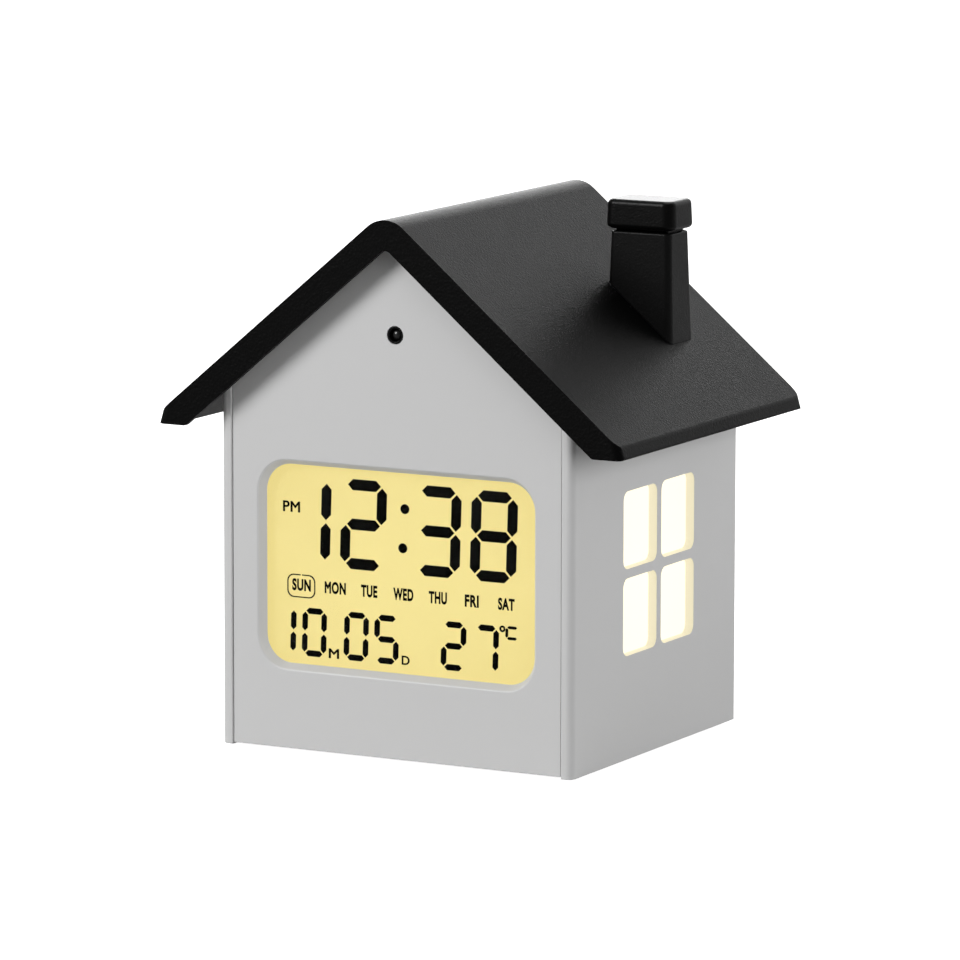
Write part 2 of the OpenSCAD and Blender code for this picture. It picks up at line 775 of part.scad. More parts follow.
module rear_cover() color(grey)
    difference() {
        union() {
            upright(cover_y0, cover_y1) gable(cover_half, cover_z0, 0);
            board_post_places() rod_y(0, 0, button_board_y1 + seat_gap, cover_y0 + weld, post_d);
            rod_y(0, buzzer_cz, cover_y0 - buzzer_ring_h, cover_y0 + weld,
                buzzer_d + 2 * seat_gap + 2 * buzzer_ring_t);
            both_sides()
                block([door_w / 2 + door_gap, cover_y0 - hinge_lug_d, hinge_z - hinge_r],
                    [door_w / 2 + door_gap + hinge_lug_w, cover_y0 + weld, hinge_z + hinge_r]);
        }
        rod_y(0, buzzer_cz, cover_y0 - buzzer_ring_h - cut, cover_y0, buzzer_d + 2 * seat_gap);
        upright(cover_y0 - cut, cover_y1 + cut) {
            translate([-door_w / 2 - door_gap, door_z0 - door_gap])
                square([door_w + 2 * door_gap, door_z1 - door_z0 + 2 * door_gap]);
            translate([-slot_l / 2, alarm_cz - slot_h / 2]) square([slot_l, slot_h]);
        }
        for (x = button_xs)
            rod_y(x, button_cz, cover_y0 - cut, cover_y1 + cut, button_d + 2 * slide_gap);
        rod_y(0, buzzer_cz, cover_y0 - cut, cover_y1 + cut, sound_hole_d);
        for (i = [0 : sound_holes - 1])
            let (a = i * 360 / sound_holes)
                rod_y(sound_ring * cos(a), buzzer_cz + sound_ring * sin(a), cover_y0 - cut, cover_y1 + cut,
                    sound_hole_d);
        rear_boss_places() {
            rod_y(0, 0, cover_y0 - cut, cover_y1 + cut, clear_d);
            rod_y(0, 0, cover_y1 - head_sink, cover_y1 + cut, screw_head_d + 2 * slide_gap);
        }
        board_post_places()
            rod_y(0, 0, button_board_y1, button_board_y1 + screw_bite + cut, pilot_d);
        rod_x(hinge_y, hinge_z, -hinge_reach - slide_gap, hinge_reach + slide_gap,
            hinge_pin_d + 2 * pivot_gap);
    }

module board_post_places() {
    for (x = [-board_post_x, board_post_x], z = [button_cz, alarm_cz])
        translate([x, 0, z]) children();
}

// Section of the roof in X and Z
module roof_outline() {
    polygon(rounded(
        [[0, top_z(0)], [eave_x - eave_lean, top_z(eave_x - eave_lean)], [eave_x, eave_z],
            [eave_in_x, eave_z], [0, under_z(0)], [-eave_in_x, eave_z], [-eave_x, eave_z],
            [eave_lean - eave_x, top_z(eave_x - eave_lean)]],
        [ridge_r, eave_edge_r, eave_tip_r, eave_r, inner_apex_r, eave_r, eave_tip_r, eave_edge_r]));
}

// Hollow above the line of the roof's underside, out to a half width
module under_band(half, rise) {
    polygon([[-half, under_z(half) - cut], [0, under_z(0) - cut], [half, under_z(half) - cut],
        [half, under_z(half) + rise], [0, under_z(0) + rise], [-half, under_z(half) + rise]]);
}

// What is taken off under an eave, so that its underside rises towards the wall
module soffit_outline() {
    polygon([[soffit_x1 + cut, eave_z - cut], [soffit_x1 + cut, eave_z - cut * soffit_slope],
        [soffit_x0, eave_z + soffit_rise], [soffit_wall_x, under_z(soffit_wall_x) + verge_rise],
        [soffit_wall_x, eave_z - cut]]);
}

// Block with rounded upright corners that holds the roof and leans as the eaves' end faces do
module roof_block()
    hull() {
        translate([0, 0, eave_z - cut])
            linear_extrude(cut) round_rect(2 * (eave_x + slice), roof_d, roof_corner_r);
        translate([0, 0, top_z(0)])
            linear_extrude(cut) round_rect(2 * (eave_x + slice - roof_lean), roof_d, roof_corner_r);
    }

module roof() color(black)
    difference() {
        union() {
            difference() {
                intersection() {
                    upright(-roof_d / 2 - cut, roof_d / 2 + cut) roof_outline();
                    roof_block();
                }
                upright(front_y + attic_margin, back_y - attic_margin) under_band(attic_x, attic_rise);
                upright(fascia_t - roof_d / 2, flange_y1 + seat_gap)
                    under_band(soffit_wall_x + weld, verge_rise);
                upright(fascia_t - roof_d / 2, roof_d / 2 - fascia_t) both_sides() soffit_outline();
            }
            intersection() {
                both_sides()
                    for (y = lug_ys)
                        translate([lug_x, y, lug_z + seat_gap]) cylinder(d = boss_d, h = top_z(0));
                upright(front_y, back_y)
                    polygon([[-half_w, 0], [half_w, 0], [half_w, top_z(half_w) - roof_skin / 2],
                        [0, top_z(0) - roof_skin / 2], [-half_w, top_z(half_w) - roof_skin / 2]]);
            }
        }
        both_sides()
            for (y = lug_ys)
                translate([lug_x, y, lug_z]) cylinder(d = pilot_d, h = screw_bite + cut);
        block([chimney_x - guide_w / 2 - seat_gap, chimney_y - guide_d / 2 - seat_gap, guide_z0 - cut],
            [chimney_x + guide_w / 2 + seat_gap, chimney_y + guide_d / 2 + seat_gap, top_z(0)]);
    }

module chimney_stack() color(black)
    difference() {
        union() {
            difference() {
                translate([chimney_x, chimney_y, 0])
                    hull() {
                        translate([0, 0, stack_low - cut])
                            linear_extrude(cut) round_rect(stack_base_w, stack_base_d, stack_r);
                        translate([0, 0, stack_top - slice])
                            linear_extrude(slice) round_rect(stack_top_w, stack_top_d, stack_r);
                    }
                upright(chimney_y - stack_base_d, chimney_y + stack_base_d)
                    polygon([[0, 0], [2 * chimney_x, 0], [2 * chimney_x, top_z(2 * chimney_x) + roof_seat],
                        [0, top_z(0) + roof_seat]]);
            }
            block([chimney_x - guide_w / 2, chimney_y - guide_d / 2, guide_z0],
                [chimney_x + guide_w / 2, chimney_y + guide_d / 2, stack_top - cut]);
        }
        block([chimney_x - bore_w / 2, chimney_y - bore_d / 2, guide_z0 - cut],
            [chimney_x + bore_w / 2, chimney_y + bore_d / 2, stack_top + cut]);
        translate([chimney_x, chimney_y, pocket_z0])
            linear_extrude(stack_top - pocket_z0 + cut)
                round_rect(skirt_w + 2 * slide_gap, skirt_d + 2 * slide_gap, skirt_r + slide_gap);
    }

// Four round pucks with soft rims, at the corners of one end of the cap
module cap_corners(w, d) {
    for (x = [cap_r - w / 2, w / 2 - cap_r], y = [cap_r - d / 2, d / 2 - cap_r])
        translate([x, y, cap_edge_r])
            rotate_extrude($fn = 32) {
                translate([cap_r - cap_edge_r, 0])
                    intersection() {
                        circle(r = cap_edge_r);
                        translate([0, -cap_edge_r]) square([cap_edge_r, 2 * cap_edge_r]);
                    }
                translate([0, -cap_edge_r]) square([cap_r - cap_edge_r, 2 * cap_edge_r]);
            }
}

module chimney_cap() color(black)
    translate([chimney_x, chimney_y, 0]) {
        translate([0, 0, cap_z0])
            hull() {
                cap_corners(cap_base_w, cap_base_d);
                translate([0, 0, cap_h - 2 * cap_edge_r]) cap_corners(cap_top_w, cap_top_d);
            }
        translate([0, 0, skirt_z0])
            linear_extrude(cap_z0 - skirt_z0 + cut) round_rect(skirt_w, skirt_d, skirt_r);
        block([-neck_w / 2, -neck_d / 2, neck_z0], [neck_w / 2, neck_d / 2, cap_z0 + cut]);
        translate([0, 0, stem_z0]) cylinder(d = stem_d, h = neck_z0 - stem_z0 + cut);
    }

module cap_clip() color(metal)
    translate([chimney_x, chimney_y, clip_z1 - clip_t])
        difference() {
            cylinder(d = clip_d, h = clip_t);
            translate([0, 0, -cut]) cylinder(d = stem_d + 2 * seat_gap, h = clip_t + 2 * cut);
        }

// Press switch with its board side at z 0, and the well that its actuator moves in
module switch_case(travel) {
    difference() {
        translate([-switch_w / 2, -switch_w / 2, 0]) cube([switch_w, switch_w, switch_h]);
        translate([0, 0, switch_h - actuator_in - travel - slide_gap])
            cylinder(d = actuator_d + 2 * slide_gap, h = switch_h);
    }
}

module switch_actuator() {
    translate([0, 0, switch_h - actuator_in]) cylinder(d = actuator_d, h = actuator_in + actuator_out);
}

module at_snooze_switch() {
    translate([chimney_x, chimney_y, snooze_board_top + seat_gap]) children();
}

module snooze_actuator() color(black)
    at_snooze_switch() switch_actuator();

module snooze_switch() color(metal)
    at_snooze_switch() switch_case(cap_travel);

module snooze_board() color(board_green)
    block([snooze_board_x0, chimney_y - shelf_half, shelf_z + seat_gap],
        [snooze_board_x1, chimney_y + shelf_half, snooze_board_top]);

module screen_plate(w, h, y0, y1) {
    translate([-w / 2, y0, screen_cz - h / 2]) cube([w, y1 - y0, h]);
}

module lcd_lens() color([0.9, 0.95, 1, 0.4])
    screen_plate(lens_w, lens_h, lens_y0, lens_y1);

module lcd_glass() color([0.95, 0.88, 0.5])
    screen_plate(lens_w, lens_h, glass_y0, glass_y1);

// One bar of a digit between two points, with pointed ends, leaning with the digit
module bar(a, b, w, gap) {
    along = unit(b - a);
    across = [-along[1], along[0]] * w / 2;
    from = a + along * gap;
    to = b - along * gap;
    outline = [from, from + along * w / 2 + across, to - along * w / 2 + across,
        to, to - along * w / 2 - across, from + along * w / 2 - across];
    polygon([for (p = outline) [p[0] + digit_lean * p[1], p[1]]]);
}

module digit(value, w, h, bar_w, gap) {
    x = (w - bar_w) / 2;
    z = (h - bar_w) / 2;
    ends = [[[-x, z], [x, z]], [[x, z], [x, 0]], [[x, 0], [x, -z]], [[x, -z], [-x, -z]],
        [[-x, -z], [-x, 0]], [[-x, 0], [-x, z]], [[-x, 0], [x, 0]]];
    for (i = [0 : 6])
        if (lit_bars[value][i] == 1)
            bar(ends[i][0], ends[i][1], bar_w, gap);
}

module lcd_segments() color(black)
    translate([0, 0, screen_cz])
        upright(glass_y0 - segment_h, glass_y0) {
            for (p = time_places)
                translate([p[0], time_row]) digit(p[1], digit_w, digit_h, segment_w, segment_gap);
            for (p = date_places)
                translate([p[0], date_row])
                    digit(p[1], small_digit_w, small_digit_h, small_segment_w, small_segment_gap);
            for (k = [-1, 1])
                translate([colon_x + k * colon_half * 2 * digit_lean, time_row + k * colon_half])
                    circle(d = colon_d);
            translate(degree_place)
                difference() {
                    circle(d = degree_d);
                    circle(d = degree_d - 2 * degree_line);
                }
            translate(celsius_place)
                for (b = [[[-1, 1], [1, 1]], [[-1, -1], [1, -1]], [[-1, -1], [-1, 1]]])
                    bar([b[0][0] * celsius_w, b[0][1] * celsius_h] / 2,
                        [b[1][0] * celsius_w, b[1][1] * celsius_h] / 2, celsius_line, small_segment_gap / 2);
        }

module backlight_panel() color([1, 0.95, 0.7])
    screen_plate(screen_w, screen_h, backlight_y0, backlight_y1);

module zebra_slot(gap) {
    block([-zebra_w / 2 - gap, glass_y1 + seat_gap, zebra_z - zebra_t / 2 - gap],
        [zebra_w / 2 + gap, board_y0 - seat_gap, zebra_z + zebra_t / 2 + gap]);
}

module lcd_frame() color([0.93, 0.93, 0.9])
    difference() {
        screen_plate(frame_w, frame_h, frame_y0, frame_y1);
        screen_plate(lens_w + 2 * seat_gap, lens_h + 2 * seat_gap, frame_y0 - cut, glass_y1 + seat_gap);
        screen_plate(screen_w + 2 * seat_gap, screen_h + 2 * seat_gap, glass_y1 - cut,
            backlight_y1 + seat_gap);
        zebra_slot(seat_gap);
    }

module zebra_strip() color([0.3, 0.3, 0.32])
    zebra_slot(0);

module main_board() color(board_green)
    difference() {
        screen_plate(board_w, board_h, board_y0, board_y1);
        board_boss_places() rod_y(0, 0, board_y0 - cut, board_y1 + cut, clear_d);
    }

module main_board_screws() color(metal)
    board_boss_places()
        translate([0, board_y1 + seat_gap, 0])
            rotate([-90, 0, 0]) screw(screw_bite + pcb_t);

module control_chip() color(black)
    translate([0, board_y1 + seat_gap, screen_cz])
        rotate([-90, 0, 0])
            rotate_extrude()
                polygon([[0, 0], [chip_d / 2, 0], [chip_d / 2 - chip_lip, chip_lip],
                    [chip_d / 4, chip_h], [0, chip_h]]);

module clock_crystal() color(metal)
    rod_x(board_y1 + seat_gap + crystal_d / 2, screen_cz + chip_d, -crystal_l / 2, crystal_l / 2, crystal_d);

module light_sensor() color([0.05, 0.05, 0.07])
    translate([0, 0, sensor_cz]) {
        rod_y(0, 0, plate_y0 + eye_recess + eye_d / 2, sensor_board_y0 - seat_gap, eye_d);
        translate([0, plate_y0 + eye_recess + eye_d / 2, 0]) sphere(d = eye_d);
    }

module sensor_collar() color(black)
    difference() {
        union() {
            rod_y(0, sensor_cz, plate_y0 + collar_recess, collar_y1, collar_d);
            rod_y(0, sensor_cz, flange_y1 + seat_gap, collar_y1, collar_flange_d);
        }
        rod_y(0, sensor_cz, plate_y0, collar_y1 + cut, collar_d - 2 * collar_wall);
    }

module sensor_board() color(board_green)
    difference() {
        block([-sensor_board_w / 2, sensor_board_y0, sensor_cz - sensor_board_h / 2],
            [sensor_board_w / 2, sensor_board_y0 + pcb_t, sensor_cz + sensor_board_h / 2]);
        for (x = [-sensor_peg_x, sensor_peg_x])
            rod_y(x, sensor_cz, sensor_board_y0 - cut, sensor_board_y0 + pcb_t + cut,
                sensor_peg_d + 2 * seat_gap);
    }

// A plate behind a side window, as large as the diffuser less an inset all round
module window_plate(x0, x1, inset) {
    block([x0, window_y - diffuser_w / 2 + inset, window_cz - diffuser_h / 2 + inset],
        [x1, window_y + diffuser_w / 2 - inset, window_cz + diffuser_h / 2 - inset]);
}

module window_diffuser_right() color(milky)
    window_plate(diffuser_x0, diffuser_x1, 0);

module window_diffuser_left()
    mirror([1, 0, 0]) window_diffuser_right();

module light_box_right() color([0.96, 0.96, 0.95])
    difference() {
        window_plate(light_box_x0, light_box_x1, 0);
        window_plate(light_box_x0 - cut, light_box_x1 + cut, light_box_t);
    }

module light_box_left()
    mirror([1, 0, 0]) light_box_right();

module light_board_right() color(board_green)
    window_plate(light_board_x0, light_board_x1, 0);

module light_board_left()
    mirror([1, 0, 0]) light_board_right();

module window_leds_right() color([1, 0.93, 0.6])
    for (i = [-1, 1], k = [-1, 1])
        translate([light_board_x1 + seat_gap, window_y + i * led_half, window_cz + k * led_half])
            translate([0, -led_w / 2, -led_w / 2]) cube([led_h, led_w, led_w]);

module window_leds_left()
    mirror([1, 0, 0]) window_leds_right();

module cell_places() {
    for (i = [0 : cells - 1])
        translate([0, cell_y, tray_z0 + tray_t + cell_gap + cell_d / 2 + i * cell_pitch])
            mirror([i % 2, 0, 0]) children();
}

module battery_tray() color([0.3, 0.3, 0.31])
    difference() {
        block([-tray_w / 2, tray_y0, tray_z0], [tray_w / 2, tray_y1, tray_z0 + tray_h]);
        cell_places() {
            rod_x(0, 0, -bay_l / 2, bay_l / 2, cell_d + 2 * cell_gap);
            block([-bay_l / 2, 0, -cell_d / 2], [bay_l / 2, tray_y1 - cell_y + cut, cell_d / 2]);
        }
    }

module battery_cells() color([0.2, 0.45, 0.3])
    cell_places() {
        nub_x = bay_l / 2 - contact_t - 2 * seat_gap;
        rod_x(0, 0, nub_x - cell_l, nub_x - nub_l, cell_d);
        rod_x(0, 0, nub_x - nub_l - weld, nub_x, nub_d);
    }

module battery_contacts() color(metal)
    cell_places()
        for (x = [seat_gap - bay_l / 2, bay_l / 2 - contact_t - seat_gap])
            translate([x, -contact_w / 2, -contact_w / 2]) cube([contact_t, contact_w, contact_w]);

module battery_springs() color(metal)
    cell_places() polyhedron(spring_wall, spring_faces);

// Section of the door in Y and Z, with a round lower edge about the hinge line
module door_section() {
    intersection() {
        translate([cover_y1 - door_t, door_z0]) square([door_t, door_z1 - door_z0]);
        union() {
            translate([hinge_y, hinge_z]) circle(r = hinge_r);
            translate([hinge_y - hinge_r, hinge_z]) square([2 * hinge_r, door_z1 - hinge_z]);
        }
    }
}

module battery_door() color(grey)
    difference() {
        union() {
            sideways(-door_w / 2, door_w / 2) door_section();
            rod_x(hinge_y, hinge_z, -hinge_reach, hinge_reach, hinge_pin_d);
            for (i = [1 : latch_ridges])
                translate([0, 0, door_z1 - i * 2 * latch_ridge])
                    block([-latch_w / 2 + cut, cover_y1 - weld, 0],
                        [latch_w / 2 - cut, cover_y1 + latch_ridge_out, latch_ridge / 2]);
        }
        both_sides()
            block([latch_w / 2, cover_y0 - cut, door_z1 - latch_l],
                [latch_w / 2 + latch_slit, cover_y1 + cut, door_z1 + cut]);
    }

module rear_button(x) color([0.3, 0.3, 0.31])
    translate([x, 0, button_cz]) {
        rod_y(0, 0, button_flange_y1 - weld, cover_y1 + button_proud, button_d);
        rod_y(0, 0, button_flange_y0, button_flange_y1, button_flange_d);
        rod_y(0, 0, button_stem_y0, button_flange_y0 + weld, actuator_d);
    }

module mode_button() rear_button(button_xs[3]);
module set_button() rear_button(button_xs[2]);
module up_button() rear_button(button_xs[1]);
module down_button() rear_button(button_xs[0]);

module at_button_switch(x) {
    translate([x, button_board_y1 + seat_gap, button_cz])
        rotate([-90, 0, 0]) children();
}

module button_actuator(x) color(black)
    at_button_switch(x) switch_actuator();

module mode_actuator() button_actuator(button_xs[3]);
module set_actuator() button_actuator(button_xs[2]);
module up_actuator() button_actuator(button_xs[1]);
module down_actuator() button_actuator(button_xs[0]);

module button_switches() color(metal)
    for (x = button_xs)
        at_button_switch(x) switch_case(button_travel);

module button_board() color(board_green)
    difference() {
        block([button_xs[0] - board_edge, button_board_y0, button_cz - board_edge],
            [button_xs[3] + board_edge, button_board_y1, alarm_cz + board_edge]);
        board_post_places() rod_y(0, 0, button_board_y0 - cut, button_board_y1 + cut, clear_d);
    }

module button_board_screws() color(metal)
    board_post_places()
        translate([0, button_board_y0 - seat_gap, 0])
            rotate([90, 0, 0]) screw(screw_bite + pcb_t);

module alarm_switch_knob() color([0.3, 0.3, 0.31])
    translate([grip_x, 0, alarm_cz]) {
        block([-slider_half, slider_y1 - slider_t, -slot_h / 2 - cut],
            [slider_half, slider_y1, slot_h / 2 + cut]);
        block([-grip_w / 2, slider_y1 - weld, -grip_h / 2], [grip_w / 2, cover_y1 + grip_proud, grip_h / 2]);
        block([-slider_stem_w / 2, switch_case_y1 - switch_slot_d + slide_gap, -slider_stem_w / 2],
            [slider_stem_w / 2, slider_y1 - slider_t + weld, slider_stem_w / 2]);
    }

module alarm_switch_body() color(metal)
    translate([0, 0, alarm_cz])
        difference() {
            block([-switch_case_w / 2, button_board_y1 + seat_gap, -switch_case_h / 2],
                [switch_case_w / 2, switch_case_y1, switch_case_h / 2]);
            block([-(switch_travel + slider_stem_w) / 2 - slide_gap, switch_case_y1 - switch_slot_d,
                    -slider_stem_w / 2 - slide_gap],
                [(switch_travel + slider_stem_w) / 2 + slide_gap, switch_case_y1 + cut,
                    slider_stem_w / 2 + slide_gap]);
        }

module buzzer() color(black)
    rod_y(0, buzzer_cz, cover_y0 - seat_gap - buzzer_h, cover_y0 - seat_gap, buzzer_d);

module rear_screws() color(metal)
    rear_boss_places()
        translate([0, cover_y1 - head_sink + seat_gap, 0])
            rotate([-90, 0, 0]) screw(screw_bite + cover_t - head_sink);

module roof_screws() color(metal)
    both_sides()
        for (y = lug_ys)
            translate([lug_x, y, lug_z - lug_t - seat_gap])
                rotate([180, 0, 0]) screw(screw_bite + lug_t);

module rubber_feet() color(black)
    foot_places() cylinder(d = foot_d, h = foot_t - seat_gap);

body_shell();
front_panel();
rear_cover();
roof();
chimney_stack();
chimney_cap();
cap_clip();
snooze_actuator();
snooze_switch();
snooze_board();
lcd_lens();
lcd_glass();
lcd_segments();
backlight_panel();
lcd_frame();
zebra_strip();
main_board();
main_board_screws();
control_chip();
clock_crystal();
light_sensor();
sensor_collar();
sensor_board();
window_diffuser_right();
window_diffuser_left();
light_box_right();
light_box_left();
light_board_right();
light_board_left();
window_leds_right();
window_leds_left();
battery_tray();
battery_cells();
battery_springs();
battery_contacts();
battery_door();
mode_button();
set_button();
up_button();
down_button();
mode_actuator();
set_actuator();
up_actuator();
down_actuator();
button_switches();
button_board();
button_board_screws();
alarm_switch_knob();
alarm_switch_body();
buzzer();
rear_screws();
roof_screws();
rubber_feet();
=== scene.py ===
"""Finish, lettering and stage of a house-shaped table clock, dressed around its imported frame."""

import json
import math

import bmesh
import bpy
from mathutils import Matrix, Vector

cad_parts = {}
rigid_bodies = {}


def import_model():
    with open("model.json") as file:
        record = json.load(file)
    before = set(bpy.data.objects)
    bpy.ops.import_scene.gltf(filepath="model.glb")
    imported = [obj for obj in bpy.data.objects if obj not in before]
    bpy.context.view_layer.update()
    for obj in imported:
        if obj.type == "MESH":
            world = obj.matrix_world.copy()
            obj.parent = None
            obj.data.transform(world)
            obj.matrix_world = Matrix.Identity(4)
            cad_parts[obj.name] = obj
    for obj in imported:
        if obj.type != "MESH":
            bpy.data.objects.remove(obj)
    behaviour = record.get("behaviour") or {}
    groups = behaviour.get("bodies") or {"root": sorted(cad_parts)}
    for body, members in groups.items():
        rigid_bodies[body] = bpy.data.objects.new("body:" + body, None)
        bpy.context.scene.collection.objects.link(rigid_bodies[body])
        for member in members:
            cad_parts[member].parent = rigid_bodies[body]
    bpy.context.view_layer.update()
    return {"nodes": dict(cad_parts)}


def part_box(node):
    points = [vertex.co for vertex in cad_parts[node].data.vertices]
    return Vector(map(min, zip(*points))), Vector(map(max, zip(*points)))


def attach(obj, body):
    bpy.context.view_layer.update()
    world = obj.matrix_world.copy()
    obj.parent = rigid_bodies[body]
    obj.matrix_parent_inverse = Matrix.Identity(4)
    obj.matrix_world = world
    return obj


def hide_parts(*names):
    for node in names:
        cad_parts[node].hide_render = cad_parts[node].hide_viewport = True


bl_info = {
    "name": "House Clock Dressing",
    "version": (1, 0, 0),
    "blender": (4, 5, 0),
    "location": "3D View > Sidebar > House Clock",
    "description": "Soft edges, finishes, lettering and studio for a house-shaped table clock",
    "category": "Object",
}

for leftover in list(bpy.data.objects):
    bpy.data.objects.remove(leftover)
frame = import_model()
NODES = frame["nodes"]

# Units and tolerances
MM = 0.001
JOIN_DISTANCE = 0.001 * MM
FLAT_ANGLE = math.radians(0.6)
CREASE = math.radians(32)
# How near to a plane or to a side an edge still counts as lying on it
FACE_SLACK = 0.02 * MM
SIDE_SLACK = 0.05 * MM
# Share of a normal along an axis above which a face looks mainly, or almost straight, that way
MAINLY = 0.5
STRAIGHT = 0.9

# Bodies of the frame
CASE = "case"
CAP = "snooze_cap"
SLIDER = "alarm_slider"
DOOR = "door"
KEYS = ("mode", "set", "up", "down")

# Where the main faces of the frame lie
PANEL_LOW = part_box("front_panel")[0]
COVER_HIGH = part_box("rear_cover")[1]
SHELL_LOW, SHELL_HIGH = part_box("body_shell")
ROOF_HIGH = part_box("roof")[1]
LENS_LOW, LENS_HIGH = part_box("lcd_lens")
SEGMENTS_LOW, SEGMENTS_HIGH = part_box("lcd_segments")
SCREEN = (LENS_LOW + LENS_HIGH) / 2
PRINT_FRONT = SEGMENTS_LOW.y
PRINT_BACK = SEGMENTS_HIGH.y
# Depth of the roof's rounded corners and of the thin boards at its ends
ROOF_CORNER = 2.0 * MM
END_BOARD = 1.2 * MM
# How far the wide end of the screen opening may reach past the lens
OPENING_MARGIN = 1.0 * MM

# Words of the display in mm: text, width, and place from the screen's middle
WEEKDAYS = (
    ("SUN", 4.5, -24.36), ("MON", 5.1, -16.18), ("TUE", 3.9, -8.0), ("WED", 4.8, 0.2),
    ("THU", 4.3, 8.45), ("FRI", 3.3, 16.51), ("SAT", 3.9, 24.67),
)
WEEKDAY_ROW = -4.65
# Other signs of the display: text, width, height, and place from the screen's middle
DISPLAY_SIGNS = (
    ("PM", 4.13, 2.32, -26.75, 11.97),
    ("M", 2.5, 2.1, -16.53, -18.72),
    ("D", 1.9, 1.95, 0.77, -18.64),
)
# Outline round one weekday: place from the screen's middle, size, gap in its top, steps of a corner
DAY_BOX = (-24.42, -4.9)
DAY_BOX_SIZE = (6.77, 5.0)
DAY_BOX_GAP = 0.4
CORNER_STEPS = 6
# Letters before they are scaled: depth, steps of a curve, room for thick strokes, joining distance
LETTER_DEPTH = 0.05
LETTER_STEPS = 6
LETTER_ROOM = 2.5
LETTER_JOIN = 1e-5

# Words beside the alarm switch in mm: text, X, and height above the switch
SWITCH_WORDS = (("OFF", -9.6, 0.0), ("ON", 9.2, 0.0), ("ALARM", 0.0, 5.2))

# Rear keys: depth of the sunk face, its sloped rim, and the drop from a key to its word
KEY_DISH = 0.25 * MM
KEY_RIM = 1.1 * MM
KEY_WORD_DROP = 6.9 * MM
# Plus and minus signs: width, reach of an arm past the middle square, and relief
SIGN_WIDTH = 0.9 * MM
SIGN_ARM = 1.15 * MM
SIGN_RELIEF = 0.08 * MM

# Cells in mm: profile near each end, as distance from that end and share of the radius
CELL_COUNT = 3
CELL_LENGTH = 44.5
CELL_STEPS = 48
FLAT_END = ((0.0, 0.0), (0.0, 0.72), (0.25, 0.78), (0.25, 0.86), (0.0, 0.92), (0.35, 1.0))
NUB_END = (
    (13.0, 1.0), (12.9, 1.0), (1.15, 1.0), (0.8, 0.9), (1.1, 0.84), (1.1, 0.42), (0.9, 0.36),
    (0.15, 0.34), (0.0, 0.28), (0.0, 0.0),
)
# Jacket of a cell: its start from the flat end, the start and end of its band from the nub end, and
# the share of the radius outside which a face belongs to it
SLEEVE_START = 0.1
BAND_START = 12.95
BAND_END = 0.975
JACKET_SHARE = 0.9
# Contact springs: radius of the wire and of the coil, turns, run, and steps of a turn and of the wire
WIRE_RADIUS = 0.3 * MM
COIL_RADIUS = 2.7 * MM
COIL_TURNS = 3.5
COIL_RUN = 3.6 * MM
COIL_STEPS = 28
WIRE_STEPS = 10

# Lit sheets: where their light starts and ends its fall, as shares of the half width, and what is lost
FALL_START = 0.3
FALL_END = 1.6
DISPLAY_LOSS = (0.06, 0.08, 0.12)
BACKLIGHT_LOSS = (0.1, 0.1, 0.1)
WINDOW_LOSS = (0.05, 0.06, 0.04)
# Half depth of a lit sheet, so large that only its width and height count
ANY_DEPTH = 1.0
# The lens bends light less than real acrylic does, so that the display keeps its brightness
LENS_IOR = 1.1

# Lights: direction from the clock, distance, and width and height
LIT_POINT = Vector((0, 0, 0.05))
TOWARD_KEY = Vector((-0.55, -0.7, 0.46)).normalized()
KEY_PLACE = (TOWARD_KEY, 2.0, (0.8, 0.8))
FILL_PLACE = ((0.97, -0.17, 0.2), 2.0, (2.8, 1.2))
CARD_PLACE = ((0.0, 0.3, 0.95), 1.6, (1.1, 1.6))
# Cosine to the key light at which the painted light on the screen's rim has faded
RIM_FADE = 0.6
# Two glows of the studio surround: direction, where each starts as a cosine, and strength
SURROUND = (((0.45, 0.85, 0.28), 0.7, 1.15), ((-0.45, 0.87, 0.12), 0.85, 4.9))
DIM_SURROUND = 0.08
SEEN_SURROUND = 0.97
# Floor: half its size, and the tone that it throws back at two places along Y
FLOOR_REACH = 6.0
FLOOR_FRONT = (-0.2, 0.26)
FLOOR_BACK = (0.3, 0.85)
# Camera: sensor in mm, and the end of its view
SENSOR_WIDTH = 36.0
VIEW_END = 50.0


def length(name, description, default, low=0.0):
    """A property that holds a length."""
    return bpy.props.FloatProperty(
        name=name, description=description, default=default, min=low, unit="LENGTH", precision=5)


def colour(name, description, default):
    """A property that holds a colour."""
    return bpy.props.FloatVectorProperty(
        name=name, description=description, default=default, size=3, min=0.0, max=10.0, subtype="COLOR")


def share(name, description, default, high=1.0):
    """A property that holds a share or a strength."""
    return bpy.props.FloatProperty(name=name, description=description, default=default, min=0.0, max=high)


def angle(name, description, degrees):
    """A property that holds an angle."""
    return bpy.props.FloatProperty(
        name=name, description=description, default=math.radians(degrees), subtype="ANGLE")


class EdgeSettings(bpy.types.PropertyGroup):
    """Widths of the softened edges."""

    roof: length("Roof", "Width of the softened edges of the roof boards", 0.55 * MM)
    stack: length("Chimney", "Width of the softened edges of the chimney stack", 0.35 * MM)
    case: length("Case", "Width of the softened edges of the grey case", 0.28 * MM)
    panel: length("Panels", "Width of the softened edges of the front panel and the rear cover", 0.12 * MM)
    screen: length("Screen opening", "Width of the softened edge of the screen opening", 0.32 * MM)
    key: length("Keys", "Width of the softened edges of the rear keys", 0.6 * MM)
    foot: length("Feet", "Width of the softened edges of the feet", 0.35 * MM)
    small: length("Small parts", "Width of the softened edges of screws and small parts", 0.12 * MM)


